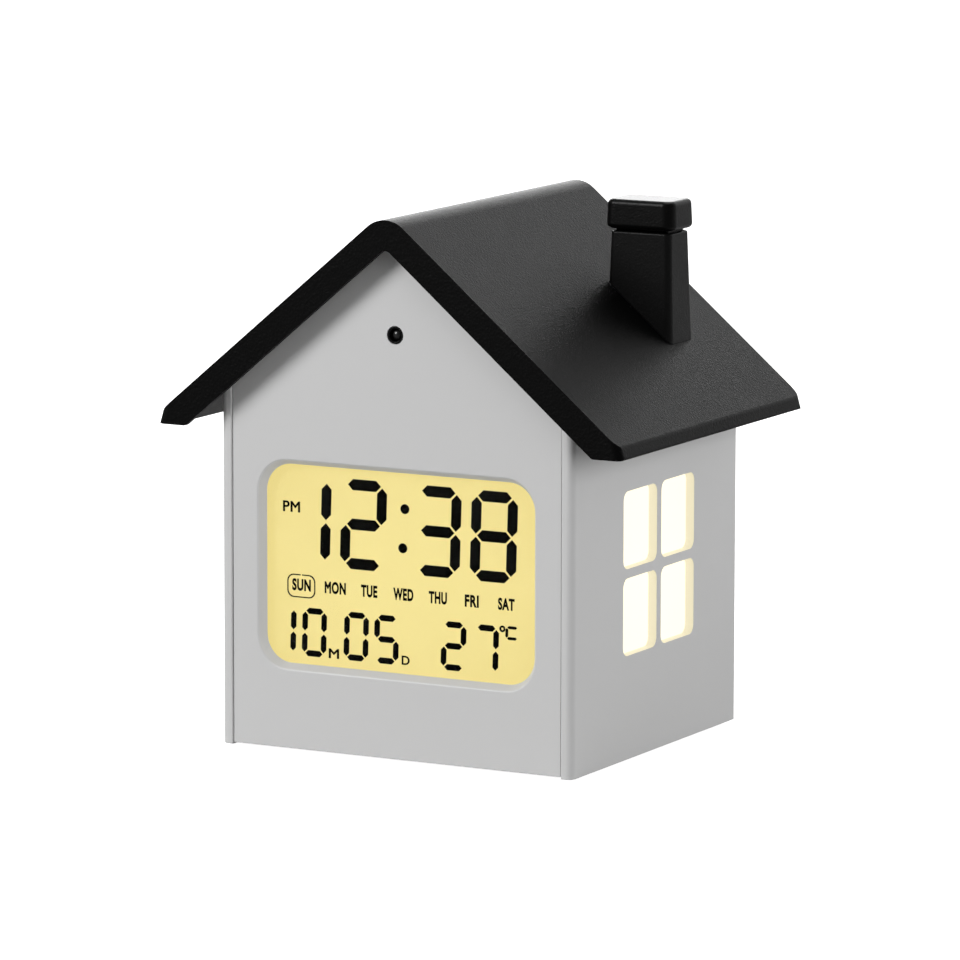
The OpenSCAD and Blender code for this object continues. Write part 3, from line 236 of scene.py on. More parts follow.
class FinishSettings(bpy.types.PropertyGroup):
    """Colours and finishes of the clock."""

    grey: colour("Grey plastic", "Colour of the grey case", (0.60, 0.60, 0.60))
    black: colour("Black plastic", "Colour of the roof and chimney", (0.002, 0.002, 0.002))
    dark: colour("Dark plastic", "Colour of the keys and the battery tray", (0.035, 0.035, 0.037))
    yellow: colour("Display", "Light of the display's backlight", (0.835, 0.706, 0.272))
    ink: colour("Segments", "Colour of the display's segments and words", (0.002, 0.002, 0.0018))
    window: colour("Window light", "Light of the lit window panes", (1.2, 1.12, 0.85))
    # Painted glow on the window reveals, standing in for the light of the panes beside them
    reveal: colour("Window reveals", "Light that shines through the window reveals", (0.36, 0.31, 0.16))
    # Painted light on the walls of the screen opening, where the key light misses them
    rim: colour("Screen rim", "Light that the display throws on its rim", (0.135, 0.14, 0.15))
    mask: colour("Circuit boards", "Colour of the boards' solder mask", (0.012, 0.11, 0.045))
    grain: length("Grain", "Size of the moulded grain of the black plastic", 0.44 * MM, 0.01 * MM)
    grain_depth: length("Grain depth", "Depth of the moulded grain of the black plastic", 0.085 * MM)


class LetteringSettings(bpy.types.PropertyGroup):
    """Sizes of the words and signs."""

    weekday_height: length("Weekdays", "Height of the display's weekday names", 2.6 * MM)
    weekday_weight: share("Weekday weight", "How far the strokes of the weekday names are thickened", 0.042)
    sign_weight: share("Sign weight", "How far the strokes of the display's other signs are thickened", 0.022)
    rear_height: length("Rear words", "Height of the words on the back", 1.9 * MM)
    rear_relief: length("Relief", "How far the words on the back stand out", 0.06 * MM)
    outline: length("Day outline", "Line width of the outline round one weekday", 0.24 * MM)
    corner: length("Day outline corner", "Corner radius of the outline round one weekday", 1.5 * MM)


class StageSettings(bpy.types.PropertyGroup):
    """Camera, lights and floor."""

    yaw: angle("Yaw", "How far the camera stands round to the right", 28.2731)
    pitch: angle("Pitch", "How far the camera looks down", 8.9769)
    roll: angle("Roll", "How far the camera is turned about its own line of sight", 0.0984)
    focal: bpy.props.FloatProperty(
        name="Focal length", description="Focal length of the camera on a 36 mm sensor", default=251.35,
        unit="CAMERA")
    place: bpy.props.FloatVectorProperty(
        name="Place", description="Where the camera stands", default=(0.669781, -1.246614, 0.278586),
        subtype="TRANSLATION", unit="LENGTH")
    key_power: share("Key light", "Power of the soft light from the upper left", 36.4, 500.0)
    fill_power: share("Fill light", "Power of the soft light from the right", 27.2, 500.0)
    card_power: share("Top card", "Power of the overhead card that shows in gloss only", 22.0, 500.0)
    floor_tone: share("Floor", "How pale the floor is", 0.9)


class ClockSettings(bpy.types.PropertyGroup):
    """All settings of the clock's dressing."""

    edges: bpy.props.PointerProperty(type=EdgeSettings)
    finish: bpy.props.PointerProperty(type=FinishSettings)
    lettering: bpy.props.PointerProperty(type=LetteringSettings)
    stage: bpy.props.PointerProperty(type=StageSettings)


def settings():
    """The settings that the operators read."""
    return bpy.context.scene.house_clock


# Shader groups and materials

def link(tree, source, target):
    """Joins an output socket to an input socket."""
    tree.links.new(source, target)


def set_inputs(node, **values):
    """Sets inputs of a node by name."""
    for name, value in values.items():
        node.inputs[name.replace("_", " ").title()].default_value = value
    return node


def new_node(tree, kind, **values):
    """Adds a node and sets its inputs by name."""
    return set_inputs(tree.nodes.new(kind), **values)


def coordinates(tree, kind="Object"):
    """Coordinates of the surface."""
    return tree.nodes.new("ShaderNodeTexCoord").outputs[kind]


def math_node(tree, kind, operation):
    """Adds a Math or Vector Math node with its operation."""
    node = tree.nodes.new(kind)
    node.operation = operation
    return node


def smooth_range(tree, source, **values):
    """Maps a value smoothly from one range to another."""
    node = new_node(tree, "ShaderNodeMapRange", **values)
    node.interpolation_type = "SMOOTHSTEP"
    link(tree, source, node.inputs["Value"])
    return node.outputs[0]


def cosine_to(tree, source, direction):
    """The cosine between a vector and a direction."""
    node = math_node(tree, "ShaderNodeVectorMath", "DOT_PRODUCT")
    link(tree, source, node.inputs[0])
    node.inputs[1].default_value = direction
    return node.outputs["Value"]


def blend_colours(tree, factor, first, second):
    """A colour that goes from one to another with a factor."""
    node = tree.nodes.new("ShaderNodeMix")
    node.data_type = "RGBA"
    link(tree, factor, node.inputs["Factor"])
    node.inputs["A"].default_value = (*first, 1.0)
    node.inputs["B"].default_value = (*second, 1.0)
    return node.outputs["Result"]


def new_group(name, inputs, outputs):
    """An empty shader group with named sockets, and its input and output nodes."""
    group = bpy.data.node_groups.new(name, "ShaderNodeTree")
    for label, kind, default in inputs:
        socket = group.interface.new_socket(label, in_out="INPUT", socket_type=kind)
        socket.default_value = default
    for label, kind in outputs:
        group.interface.new_socket(label, in_out="OUTPUT", socket_type=kind)
    return group, group.nodes.new("NodeGroupInput"), group.nodes.new("NodeGroupOutput")


def grain_group():
    """Fine pebbled grain as left by an etched mould: a height."""
    name = "moulded_grain"
    if name in bpy.data.node_groups:
        return bpy.data.node_groups[name]
    group, entry, leave = new_group(
        name, [("Scale", "NodeSocketFloat", 2000.0)],
        [("Height", "NodeSocketFloat")])
    pebbles = group.nodes.new("ShaderNodeTexVoronoi")
    pebbles.feature = "SMOOTH_F1"
    cloud = new_node(group, "ShaderNodeTexNoise", detail=3.0, roughness=0.6)
    for texture in (pebbles, cloud):
        link(group, coordinates(group), texture.inputs["Vector"])
        link(group, entry.outputs["Scale"], texture.inputs["Scale"])
    height = math_node(group, "ShaderNodeMath", "MULTIPLY_ADD")
    pebble_share = 0.6
    link(group, pebbles.outputs["Distance"], height.inputs[0])
    height.inputs[1].default_value = pebble_share
    link(group, cloud.outputs["Fac"], height.inputs[2])
    link(group, height.outputs[0], leave.inputs["Height"])
    return group


def cast_group():
    """Slow drift of tone and gloss over a moulded part."""
    name = "moulding_drift"
    if name in bpy.data.node_groups:
        return bpy.data.node_groups[name]
    group, entry, leave = new_group(
        name,
        [("Colour", "NodeSocketColor", (0.5, 0.5, 0.5, 1.0)), ("Amount", "NodeSocketFloat", 0.05),
         ("Gloss Low", "NodeSocketFloat", 0.4), ("Gloss High", "NodeSocketFloat", 0.5)],
        [("Colour", "NodeSocketColor"), ("Roughness", "NodeSocketFloat")])
    drift = new_node(group, "ShaderNodeTexNoise", scale=38.0, detail=5.0, roughness=0.62)
    link(group, coordinates(group), drift.inputs["Vector"])
    dim = math_node(group, "ShaderNodeMath", "MULTIPLY")
    link(group, drift.outputs["Fac"], dim.inputs[0])
    link(group, entry.outputs["Amount"], dim.inputs[1])
    keep = math_node(group, "ShaderNodeMath", "SUBTRACT")
    keep.inputs[0].default_value = 1.0
    link(group, dim.outputs[0], keep.inputs[1])
    tint = math_node(group, "ShaderNodeVectorMath", "SCALE")
    link(group, entry.outputs["Colour"], tint.inputs[0])
    link(group, keep.outputs[0], tint.inputs["Scale"])
    link(group, tint.outputs[0], leave.inputs["Colour"])
    gloss = group.nodes.new("ShaderNodeMapRange")
    link(group, drift.outputs["Fac"], gloss.inputs["Value"])
    link(group, entry.outputs["Gloss Low"], gloss.inputs["To Min"])
    link(group, entry.outputs["Gloss High"], gloss.inputs["To Max"])
    link(group, gloss.outputs[0], leave.inputs["Roughness"])
    return group


def new_material(name):
    """A material with a Principled shader, its tree and that shader."""
    material = bpy.data.materials.new(name)
    material.use_nodes = True
    tree = material.node_tree
    return material, tree, tree.nodes["Principled BSDF"]


def place_group(tree, group, **values):
    """Places a shader group in a material with its own values."""
    node = tree.nodes.new("ShaderNodeGroup")
    node.node_tree = group
    return set_inputs(node, **values)


def lay_drift(tree, shader, tone, drift, gloss):
    """Gives a shader a tone and a gloss that drift over the part."""
    cast = place_group(
        tree, cast_group(), colour=(*tone, 1.0), amount=drift, gloss_low=gloss[0], gloss_high=gloss[1])
    link(tree, cast.outputs["Colour"], shader.inputs["Base Color"])
    link(tree, cast.outputs["Roughness"], shader.inputs["Roughness"])


def lay_bump(tree, shader, height, strength, depth):
    """Gives a shader a relief."""
    bump = new_node(tree, "ShaderNodeBump", strength=strength, distance=depth)
    link(tree, height, bump.inputs["Height"])
    link(tree, bump.outputs["Normal"], shader.inputs["Normal"])


def lay_grain(tree, shader, grain, strength, depth):
    """Gives a shader a fine moulded grain."""
    texture = place_group(tree, grain_group(), scale=1 / grain)
    lay_bump(tree, shader, texture.outputs["Height"], strength, depth)


def moulded_plastic(name, tone, drift, gloss, grain, depth, specular=0.5):
    """Moulded plastic with a drifting tone and a fine grain."""
    if name in bpy.data.materials:
        return bpy.data.materials[name]
    material, tree, shader = new_material(name)
    lay_drift(tree, shader, tone, drift, gloss)
    lay_grain(tree, shader, grain, 1.0, depth)
    shader.inputs["Specular IOR Level"].default_value = specular
    return material


def grey_plastic(name="satin_grey"):
    """Light grey satin plastic of the case."""
    return moulded_plastic(
        name, settings().finish.grey, drift=0.03, gloss=(0.42, 0.52), grain=0.5 * MM, depth=0.006 * MM,
        specular=0.4)


def lit_grey(name, light):
    """Grey plastic beside a lamp or the display, with a painted glow that stands in for the light falling on
    it.
    """
    material = grey_plastic(name)
    shader = material.node_tree.nodes["Principled BSDF"]
    # Painted light: the grey plastic emits some of the light of the lamp or display beside it
    set_inputs(shader, emission_color=(*light, 1.0), emission_strength=1.0)
    return material


def rim_grey():
    """Grey plastic round the display, with painted light on the walls that the key light misses."""
    light = settings().finish.rim
    material = lit_grey("rim_grey", light)
    tree = material.node_tree
    # Painted light: the rim glows less the more a wall faces the key light
    cosine = cosine_to(tree, coordinates(tree, "Normal"), TOWARD_KEY)
    fade = smooth_range(tree, cosine, from_min=0.0, from_max=RIM_FADE)
    glow = blend_colours(tree, fade, light, (0.0, 0.0, 0.0))
    link(tree, glow, tree.nodes["Principled BSDF"].inputs["Emission Color"])
    return material


def black_plastic():
    """Black plastic of the roof, with an etched grain."""
    finish = settings().finish
    return moulded_plastic(
        "etched_black", finish.black, drift=0.3, gloss=(0.38, 0.44), grain=finish.grain,
        depth=finish.grain_depth, specular=0.065)


def stack_black():
    """Black plastic of the chimney stack, a shade lighter than the roof."""
    finish = settings().finish
    tone = [2.5 * c for c in finish.black]
    return moulded_plastic(
        "stack_black", tone, drift=0.3, gloss=(0.34, 0.4), grain=0.8 * finish.grain,
        depth=0.5 * finish.grain_depth, specular=0.11)


def smooth_black():
    """Black plastic of the chimney cap and the sensor's collar, smoother than the roof."""
    finish = settings().finish
    return moulded_plastic(
        "soft_black", finish.black, drift=0.3, gloss=(0.32, 0.38), grain=0.8 * finish.grain,
        depth=0.5 * finish.grain_depth, specular=0.135)


def dark_plastic():
    """Dark grey plastic of the keys, switches and tray."""
    return moulded_plastic(
        "dark_grey", settings().finish.dark, drift=0.15, gloss=(0.4, 0.5), grain=0.4 * MM, depth=0.012 * MM)


def white_plastic():
    """White plastic of the reflectors and the display frame."""
    return moulded_plastic(
        "reflector_white", (0.82, 0.82, 0.8), drift=0.04, gloss=(0.4, 0.5), grain=0.5 * MM,
        depth=0.006 * MM)


def rubber():
    """Soft black rubber."""
    return moulded_plastic(
        "soft_rubber", (0.022, 0.022, 0.022), drift=0.25, gloss=(0.75, 0.9), grain=0.35 * MM,
        depth=0.03 * MM, specular=0.3)


def plated_steel():
    """Zinc-plated steel with a fine grain."""
    name = "plated_steel"
    if name in bpy.data.materials:
        return bpy.data.materials[name]
    material, tree, shader = new_material(name)
    shader.inputs["Metallic"].default_value = 1.0
    lay_drift(tree, shader, tone=(0.62, 0.61, 0.58), drift=0.25, gloss=(0.22, 0.4))
    lay_grain(tree, shader, grain=0.25 * MM, strength=0.4, depth=0.005 * MM)
    return material


def lit_panel(name, light, strength, edge_loss, middle, half):
    """A lit sheet whose light falls off a little towards its edges."""
    if name in bpy.data.materials:
        return bpy.data.materials[name]
    material, tree, shader = new_material(name)
    centre = new_node(
        tree, "ShaderNodeMapping", location=[-m / h for m, h in zip(middle, half)],
        scale=[1 / h for h in half])
    link(tree, coordinates(tree), centre.inputs["Vector"])
    reach = math_node(tree, "ShaderNodeVectorMath", "LENGTH")
    link(tree, centre.outputs["Vector"], reach.inputs[0])
    fall = smooth_range(tree, reach.outputs["Value"], from_min=FALL_START, from_max=FALL_END)
    edge = [c * (1 - loss) for c, loss in zip(light, edge_loss)]
    link(tree, blend_colours(tree, fall, light, edge), shader.inputs["Emission Color"])
    unlit = [0.1 * c for c in light]
    set_inputs(shader, emission_strength=strength, base_color=(*unlit, 1.0), roughness=0.5)
    return material


def lens_material():
    """Clear acrylic with a faint drift in its polish."""
    name = "clear_acrylic"
    if name in bpy.data.materials:
        return bpy.data.materials[name]
    material, tree, shader = new_material(name)
    set_inputs(shader, transmission_weight=1.0, base_color=(1.0, 1.0, 1.0, 1.0))
    shader.inputs["IOR"].default_value = LENS_IOR
    polish = new_node(tree, "ShaderNodeTexNoise", scale=120.0, detail=2.0)
    link(tree, coordinates(tree), polish.inputs["Vector"])
    gloss = new_node(tree, "ShaderNodeMapRange", to_min=0.0, to_max=0.03)
    link(tree, polish.outputs["Fac"], gloss.inputs["Value"])
    link(tree, gloss.outputs[0], shader.inputs["Roughness"])
    return material


def ink_material():
    """Matt black of the display's segments and words."""
    return moulded_plastic(
        "display_ink", settings().finish.ink, drift=0.2, gloss=(0.5, 0.6), grain=0.2 * MM, depth=0.001 * MM,
        specular=0.05)


def print_material(name, tone, drift):
    """Matt print of the words and signs on the back."""
    return moulded_plastic(
        name, tone, drift, gloss=(0.5, 0.6), grain=0.15 * MM, depth=0.002 * MM, specular=0.3)


def board_material():
    """Green solder mask over copper tracks."""
    name = "solder_mask"
    if name in bpy.data.materials:
        return bpy.data.materials[name]
    material, tree, shader = new_material(name)
    tracks = new_node(tree, "ShaderNodeTexBrick", scale=160.0, mortar_size=0.03)
    link(tree, coordinates(tree), tracks.inputs["Vector"])
    mask = settings().finish.mask
    tracks.inputs["Color1"].default_value = (*mask, 1.0)
    tracks.inputs["Color2"].default_value = (*[0.8 * c for c in mask], 1.0)
    tracks.inputs["Mortar"].default_value = (*[1.9 * c for c in mask], 1.0)
    link(tree, tracks.outputs["Color"], shader.inputs["Base Color"])
    lay_bump(tree, shader, tracks.outputs["Fac"], strength=0.5, depth=0.03 * MM)
    shader.inputs["Roughness"].default_value = 0.28
    return material


def jacket_material(name, tone):
    """Metallic jacket of a cell."""
    if name in bpy.data.materials:
        return bpy.data.materials[name]
    material, tree, shader = new_material(name)
    lay_drift(tree, shader, tone, drift=0.2, gloss=(0.2, 0.3))
    shader.inputs["Metallic"].default_value = 0.6
    return material


def sensor_material():
    """Dark clear dome over the light sensor."""
    name = "sensor_dome"
    if name in bpy.data.materials:
        return bpy.data.materials[name]
    material, tree, shader = new_material(name)
    lay_drift(tree, shader, tone=(0.004, 0.004, 0.005), drift=0.3, gloss=(0.07, 0.12))
    shader.inputs["Coat Weight"].default_value = 1.0
    return material


# Shapes

def merged_copy(node):
    """A copy of a node's mesh with its corners joined and its flat faces whole."""
    bm = bmesh.new()
    bm.from_mesh(NODES[node].data)
    bmesh.ops.remove_doubles(bm, verts=bm.verts, dist=JOIN_DISTANCE)
    bmesh.ops.dissolve_limit(bm, angle_limit=FLAT_ANGLE, verts=bm.verts, edges=bm.edges)
    return bm


def soften(bm, width, segments=3, where=None, crease=CREASE):
    """Bevels the outward creases of a mesh, or those of them that where picks by their two ends."""
    edges = [
        e for e in bm.edges
        if len(e.link_faces) == 2 and e.calc_face_angle_signed() > crease
        and (where is None or where(e.verts[0].co, e.verts[1].co))
    ]
    bmesh.ops.bevel(
        bm, geom=edges, offset=width, offset_type="OFFSET", segments=segments, profile=0.5, affect="EDGES",
        clamp_overlap=True, material=-1, loop_slide=True)
    return bm


def to_object(bm, name, materials):
    """Writes a mesh out as an object with smooth faces and crisp creases."""
    bmesh.ops.recalc_face_normals(bm, faces=bm.faces)
    mesh = bpy.data.meshes.new(name)
    bm.to_mesh(mesh)
    bm.free()
    mesh.shade_smooth()
    mesh.set_sharp_from_angle(angle=CREASE)
    for material in materials:
        mesh.materials.append(material)
    made = bpy.data.objects.new(name, mesh)
    bpy.context.scene.collection.objects.link(made)
    return made


def add_piece(bm, name, material, body, slot, *replaced):
    """Finishes a piece: it rides on its body and stands for the nodes that it replaces; its slot is not used.
    """
    materials = material if isinstance(material, list) else [material]
    piece = to_object(bm, name, materials)
    normals = piece.modifiers.new("flat_faces", "WEIGHTED_NORMAL")
    normals.keep_sharp = True
    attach(piece, body)
    if replaced:
        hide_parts(*replaced)
    return piece


def dress(material, *nodes):
    """Gives nodes of the frame a material."""
    for node in nodes:
        for slot in NODES[node].material_slots:
            slot.material = material


def word_mesh(text, width, height, thickness, weight=0.0):
    """A word as a thin closed mesh in X and Y, centred and scaled to its size, with its back at Z 0."""
    curve = bpy.data.curves.new("word", "FONT")
    curve.body = text
    curve.extrude = LETTER_DEPTH
    curve.bevel_depth = weight
    curve.bevel_resolution = 0
    curve.resolution_u = LETTER_STEPS
    curve.space_character = 1.0 + LETTER_ROOM * weight
    holder = bpy.data.objects.new("word", curve)
    bpy.context.scene.collection.objects.link(holder)
    graph = bpy.context.evaluated_depsgraph_get()
    mesh = bpy.data.meshes.new_from_object(holder.evaluated_get(graph))
    bpy.data.objects.remove(holder)
    bpy.data.curves.remove(curve)
    bm = bmesh.new()
    bm.from_mesh(mesh)
    bpy.data.meshes.remove(mesh)
    bmesh.ops.remove_doubles(bm, verts=bm.verts, dist=LETTER_JOIN)
    low = Vector([min(v.co[i] for v in bm.verts) for i in range(3)])
    high = Vector([max(v.co[i] for v in bm.verts) for i in range(3)])
    size = high - low
    middle = (low + high) / 2
    wide = width if width else height * size.x / size.y
    bmesh.ops.translate(bm, verts=bm.verts, vec=(-middle.x, -middle.y, -low.z))
    bmesh.ops.scale(bm, verts=bm.verts, vec=(wide / size.x, height / size.y, thickness / size.z))
    return bm


def facing_front(x, y, z):
    """Turns a flat shape to face the front, with its back at y."""
    return Matrix.Translation((x, y, z)) @ Matrix.Rotation(math.pi / 2, 4, "X")


def facing_back(x, y, z):
    """Turns a flat shape to face the back, with its back at y."""
    upright = Matrix.Rotation(math.pi / 2, 4, "X")
    return Matrix.Translation((x, y, z)) @ Matrix.Rotation(math.pi, 4, "Z") @ upright


def merge_into(target, source, matrix):
    """Adds a mesh to another one, moved by a matrix."""
    bmesh.ops.transform(source, matrix=matrix, verts=source.verts)
    mesh = bpy.data.meshes.new("part")
    source.to_mesh(mesh)
    source.free()
    target.from_mesh(mesh)
    bpy.data.meshes.remove(mesh)


def round_bar(length_x, length_y, radius, line, thickness, gap):
    """A thin rounded outline in X and Y, open for a gap at the middle of its top."""
    bm = bmesh.new()
    half_x = length_x / 2
    half_y = length_y / 2
    points = [Vector((gap / 2, half_y, 0))]
    for cx, cy, start in ((1, 1, 90), (1, -1, 0), (-1, -1, -90), (-1, 1, -180)):
        for step in range(CORNER_STEPS + 1):
            turn = math.radians(start - step * 90 / CORNER_STEPS)
            points.append(Vector((
                cx * (half_x - radius) + radius * math.cos(turn),
                cy * (half_y - radius) + radius * math.sin(turn), 0)))
    points.append(Vector((-gap / 2, half_y, 0)))
    verts = [bm.verts.new(p) for p in points]
    edges = [bm.edges.new(pair) for pair in zip(verts, verts[1:])]
    ring = bmesh.ops.extrude_edge_only(bm, edges=edges)
    inner = [v for v in ring["geom"] if isinstance(v, bmesh.types.BMVert)]
    scale = ((length_x - 2 * line) / length_x, (length_y - 2 * line) / length_y, 1)
    bmesh.ops.scale(bm, verts=inner, vec=scale)
    body = bmesh.ops.extrude_face_region(bm, geom=bm.faces[:])
    top = [v for v in body["geom"] if isinstance(v, bmesh.types.BMVert)]
    bmesh.ops.translate(bm, verts=top, vec=(0, 0, thickness))
    return bm


# Operators

class CLOCK_OT_case(bpy.types.Operator):
    """Soften and finish the grey case: shell, front panel, rear cover and battery door"""

    bl_idname = "clock.case"
    bl_label = "Case"

    def execute(self, context):
        edges = settings().edges
        grey = grey_plastic()
        reach = SHELL_HIGH.x - SIDE_SLACK

        def outside(a, b):
            return min(abs(a.x), abs(b.x)) > reach or max(a.z, b.z) < SHELL_LOW.z + SIDE_SLACK

        shell = soften(merged_copy("body_shell"), edges.case, where=outside)
        self.mark_reveals(shell)
        # The reveals beside the lit panes get a painted glow
        reveal = lit_grey("lit_grey", settings().finish.reveal)
        add_piece(shell, "case_shell", [grey, reveal], CASE, "grey_plastic", "body_shell")
        front = PANEL_LOW.y + FACE_SLACK
        rim = (LENS_HIGH.x - LENS_LOW.x) / 2 + OPENING_MARGIN
        sill = LENS_LOW.z - OPENING_MARGIN
        lintel = LENS_HIGH.z + OPENING_MARGIN

        def at_screen(a, b):
            between = max(abs(a.x), abs(b.x)) < rim and sill < min(a.z, b.z) and max(a.z, b.z) < lintel
            return max(a.y, b.y) < front and between

        panel = merged_copy("front_panel")
        side = max(v.co.x for v in panel.verts if v.co.y < front) - SIDE_SLACK
        foot = PANEL_LOW.z + SIDE_SLACK

        def at_seam(a, b):
            beside = min(abs(a.x), abs(b.x)) > side or max(a.z, b.z) < foot
            return max(a.y, b.y) < front and beside

        soften(panel, edges.panel, where=at_seam)
        soften(panel, edges.screen, segments=4, where=at_screen)
        self.mark_rim(panel)
        add_piece(panel, "gable_panel", [grey, rim_grey()], CASE, "grey_plastic", "front_panel")
        back = COVER_HIGH.y - FACE_SLACK

        def at_back(a, b):
            return min(a.y, b.y) > back

        cover = soften(merged_copy("rear_cover"), edges.panel, where=at_back)
        add_piece(cover, "back_cover", grey, CASE, "grey_plastic", "rear_cover")
        door = soften(merged_copy("battery_door"), edges.panel, where=at_back)
        add_piece(door, "battery_lid", grey, DOOR, "grey_plastic", "battery_door")
        return {"FINISHED"}

    def mark_reveals(self, shell):
        """Gives the faces inside the window openings the shell's second material, the one with the painted
        glow.
        """
        low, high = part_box("window_diffuser_right")
        for face in shell.faces:
            middle = face.calc_center_median()
            inside = low.y < middle.y < high.y and low.z < middle.z < high.z
            if inside and abs(middle.x) > high.x and abs(face.normal.x) < MAINLY:
                face.material_index = 1

    def mark_rim(self, panel):
        """Gives the walls of the screen opening the panel's second material, the one with painted light."""
        around = Vector((1, 0, 1)) * OPENING_MARGIN
        low = LENS_LOW - around
        high = LENS_HIGH + around
        for face in panel.faces:
            middle = face.calc_center_median()
            inside = low.x < middle.x < high.x and low.z < middle.z < high.z and middle.y < LENS_LOW.y
            if inside and abs(face.normal.y) < STRAIGHT:
                face.material_index = 1


class CLOCK_OT_roof(bpy.types.Operator):
    """Soften and finish the black roof, the chimney stack and its cap"""

    bl_idname = "clock.roof"
    bl_label = "Roof and chimney"

    def execute(self, context):
        edges = settings().edges
        corner = ROOF_HIGH.y - ROOF_CORNER - FACE_SLACK
        inner = ROOF_HIGH.y - END_BOARD

        def at_end(a, b):
            near = [abs(a.y), abs(b.y)]
            return min(near) > corner and max(abs(y - inner) for y in near) > FACE_SLACK

        roof = soften(merged_copy("roof"), edges.roof, segments=4, where=at_end)
        add_piece(roof, "roof_moulding", black_plastic(), CASE, "black_plastic", "roof")
        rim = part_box("chimney_stack")[1].z - SIDE_SLACK
        stack = soften(merged_copy("chimney_stack"), edges.stack, where=lambda a, b: min(a.z, b.z) > rim)
        add_piece(stack, "chimney_moulding", stack_black(), CASE, "black_plastic", "chimney_stack")
        cap = merged_copy("chimney_cap")
        add_piece(cap, "chimney_key", smooth_black(), CAP, "black_plastic", "chimney_cap")
        dress(plated_steel(), "cap_clip", "snooze_switch")
        dress(dark_plastic(), "snooze_actuator")
        return {"FINISHED"}


class CLOCK_OT_display(bpy.types.Operator):
    """Light the display and print its weekday names and signs"""

    bl_idname = "clock.display"
    bl_label = "Display"

    def execute(self, context):
        lettering = settings().lettering
        finish = settings().finish
        half = (LENS_HIGH - LENS_LOW) / 2
        spread = (half.x, ANY_DEPTH, half.z)
        dress(lit_panel("display_glow", finish.yellow, 1.0, DISPLAY_LOSS, SCREEN, spread), "lcd_glass")
        dress(lens_material(), "lcd_lens")
        ink = ink_material()
        dress(ink, "lcd_segments")
        thickness = PRINT_BACK - PRINT_FRONT
        words = bmesh.new()
        for text, width, x in WEEKDAYS:
            word = word_mesh(text, width * MM, lettering.weekday_height, thickness, lettering.weekday_weight)
            merge_into(words, word, facing_front(
                SCREEN.x + x * MM, PRINT_BACK, SCREEN.z + WEEKDAY_ROW * MM))
        for text, width, height, x, z in DISPLAY_SIGNS:
            word = word_mesh(text, width * MM, height * MM, thickness, lettering.sign_weight)
            merge_into(words, word, facing_front(SCREEN.x + x * MM, PRINT_BACK, SCREEN.z + z * MM))
        add_piece(words, "display_words", ink, CASE, "display_black")
        box = bmesh.new()
        outline = round_bar(
            DAY_BOX_SIZE[0] * MM, DAY_BOX_SIZE[1] * MM, lettering.corner, lettering.outline, thickness,
            DAY_BOX_GAP * MM)
        merge_into(box, outline, facing_front(
            SCREEN.x + DAY_BOX[0] * MM, PRINT_BACK, SCREEN.z + DAY_BOX[1] * MM))
        add_piece(box, "day_outline", ink, CASE, "display_black")
        backlight = lit_panel("backlight_glow", (0.9, 0.8, 0.45), 0.6, BACKLIGHT_LOSS, SCREEN, spread)
        dress(backlight, "backlight_panel")
        dress(white_plastic(), "lcd_frame")
        dress(rubber(), "zebra_strip")
        return {"FINISHED"}


class CLOCK_OT_windows(bpy.types.Operator):
    """Light the side windows and finish what stands behind them"""

    bl_idname = "clock.windows"
    bl_label = "Windows"

    def execute(self, context):
        window = settings().finish.window
        for side in ("right", "left"):
            low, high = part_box(f"window_diffuser_{side}")
            half = (high - low) / 2
            spread = (ANY_DEPTH, half.y, half.z)
            glow = lit_panel(f"window_glow_{side}", window, 1.0, WINDOW_LOSS, (low + high) / 2, spread)
            dress(glow, f"window_diffuser_{side}")
            dress(white_plastic(), f"light_box_{side}")
            dress(board_material(), f"light_board_{side}")
            dress(glow, f"window_leds_{side}")
        return {"FINISHED"}


class CLOCK_OT_sensor(bpy.types.Operator):
    """Finish the light sensor in the gable"""

    bl_idname = "clock.sensor"
    bl_label = "Light sensor"

    def execute(self, context):
        collar = soften(merged_copy("sensor_collar"), settings().edges.small)
        add_piece(collar, "sensor_ring", smooth_black(), CASE, "black_plastic", "sensor_collar")
        dome = merged_copy("light_sensor")
        add_piece(dome, "sensor_eye", sensor_material(), CASE, "sensor_dome", "light_sensor")
        dress(board_material(), "sensor_board")
        return {"FINISHED"}


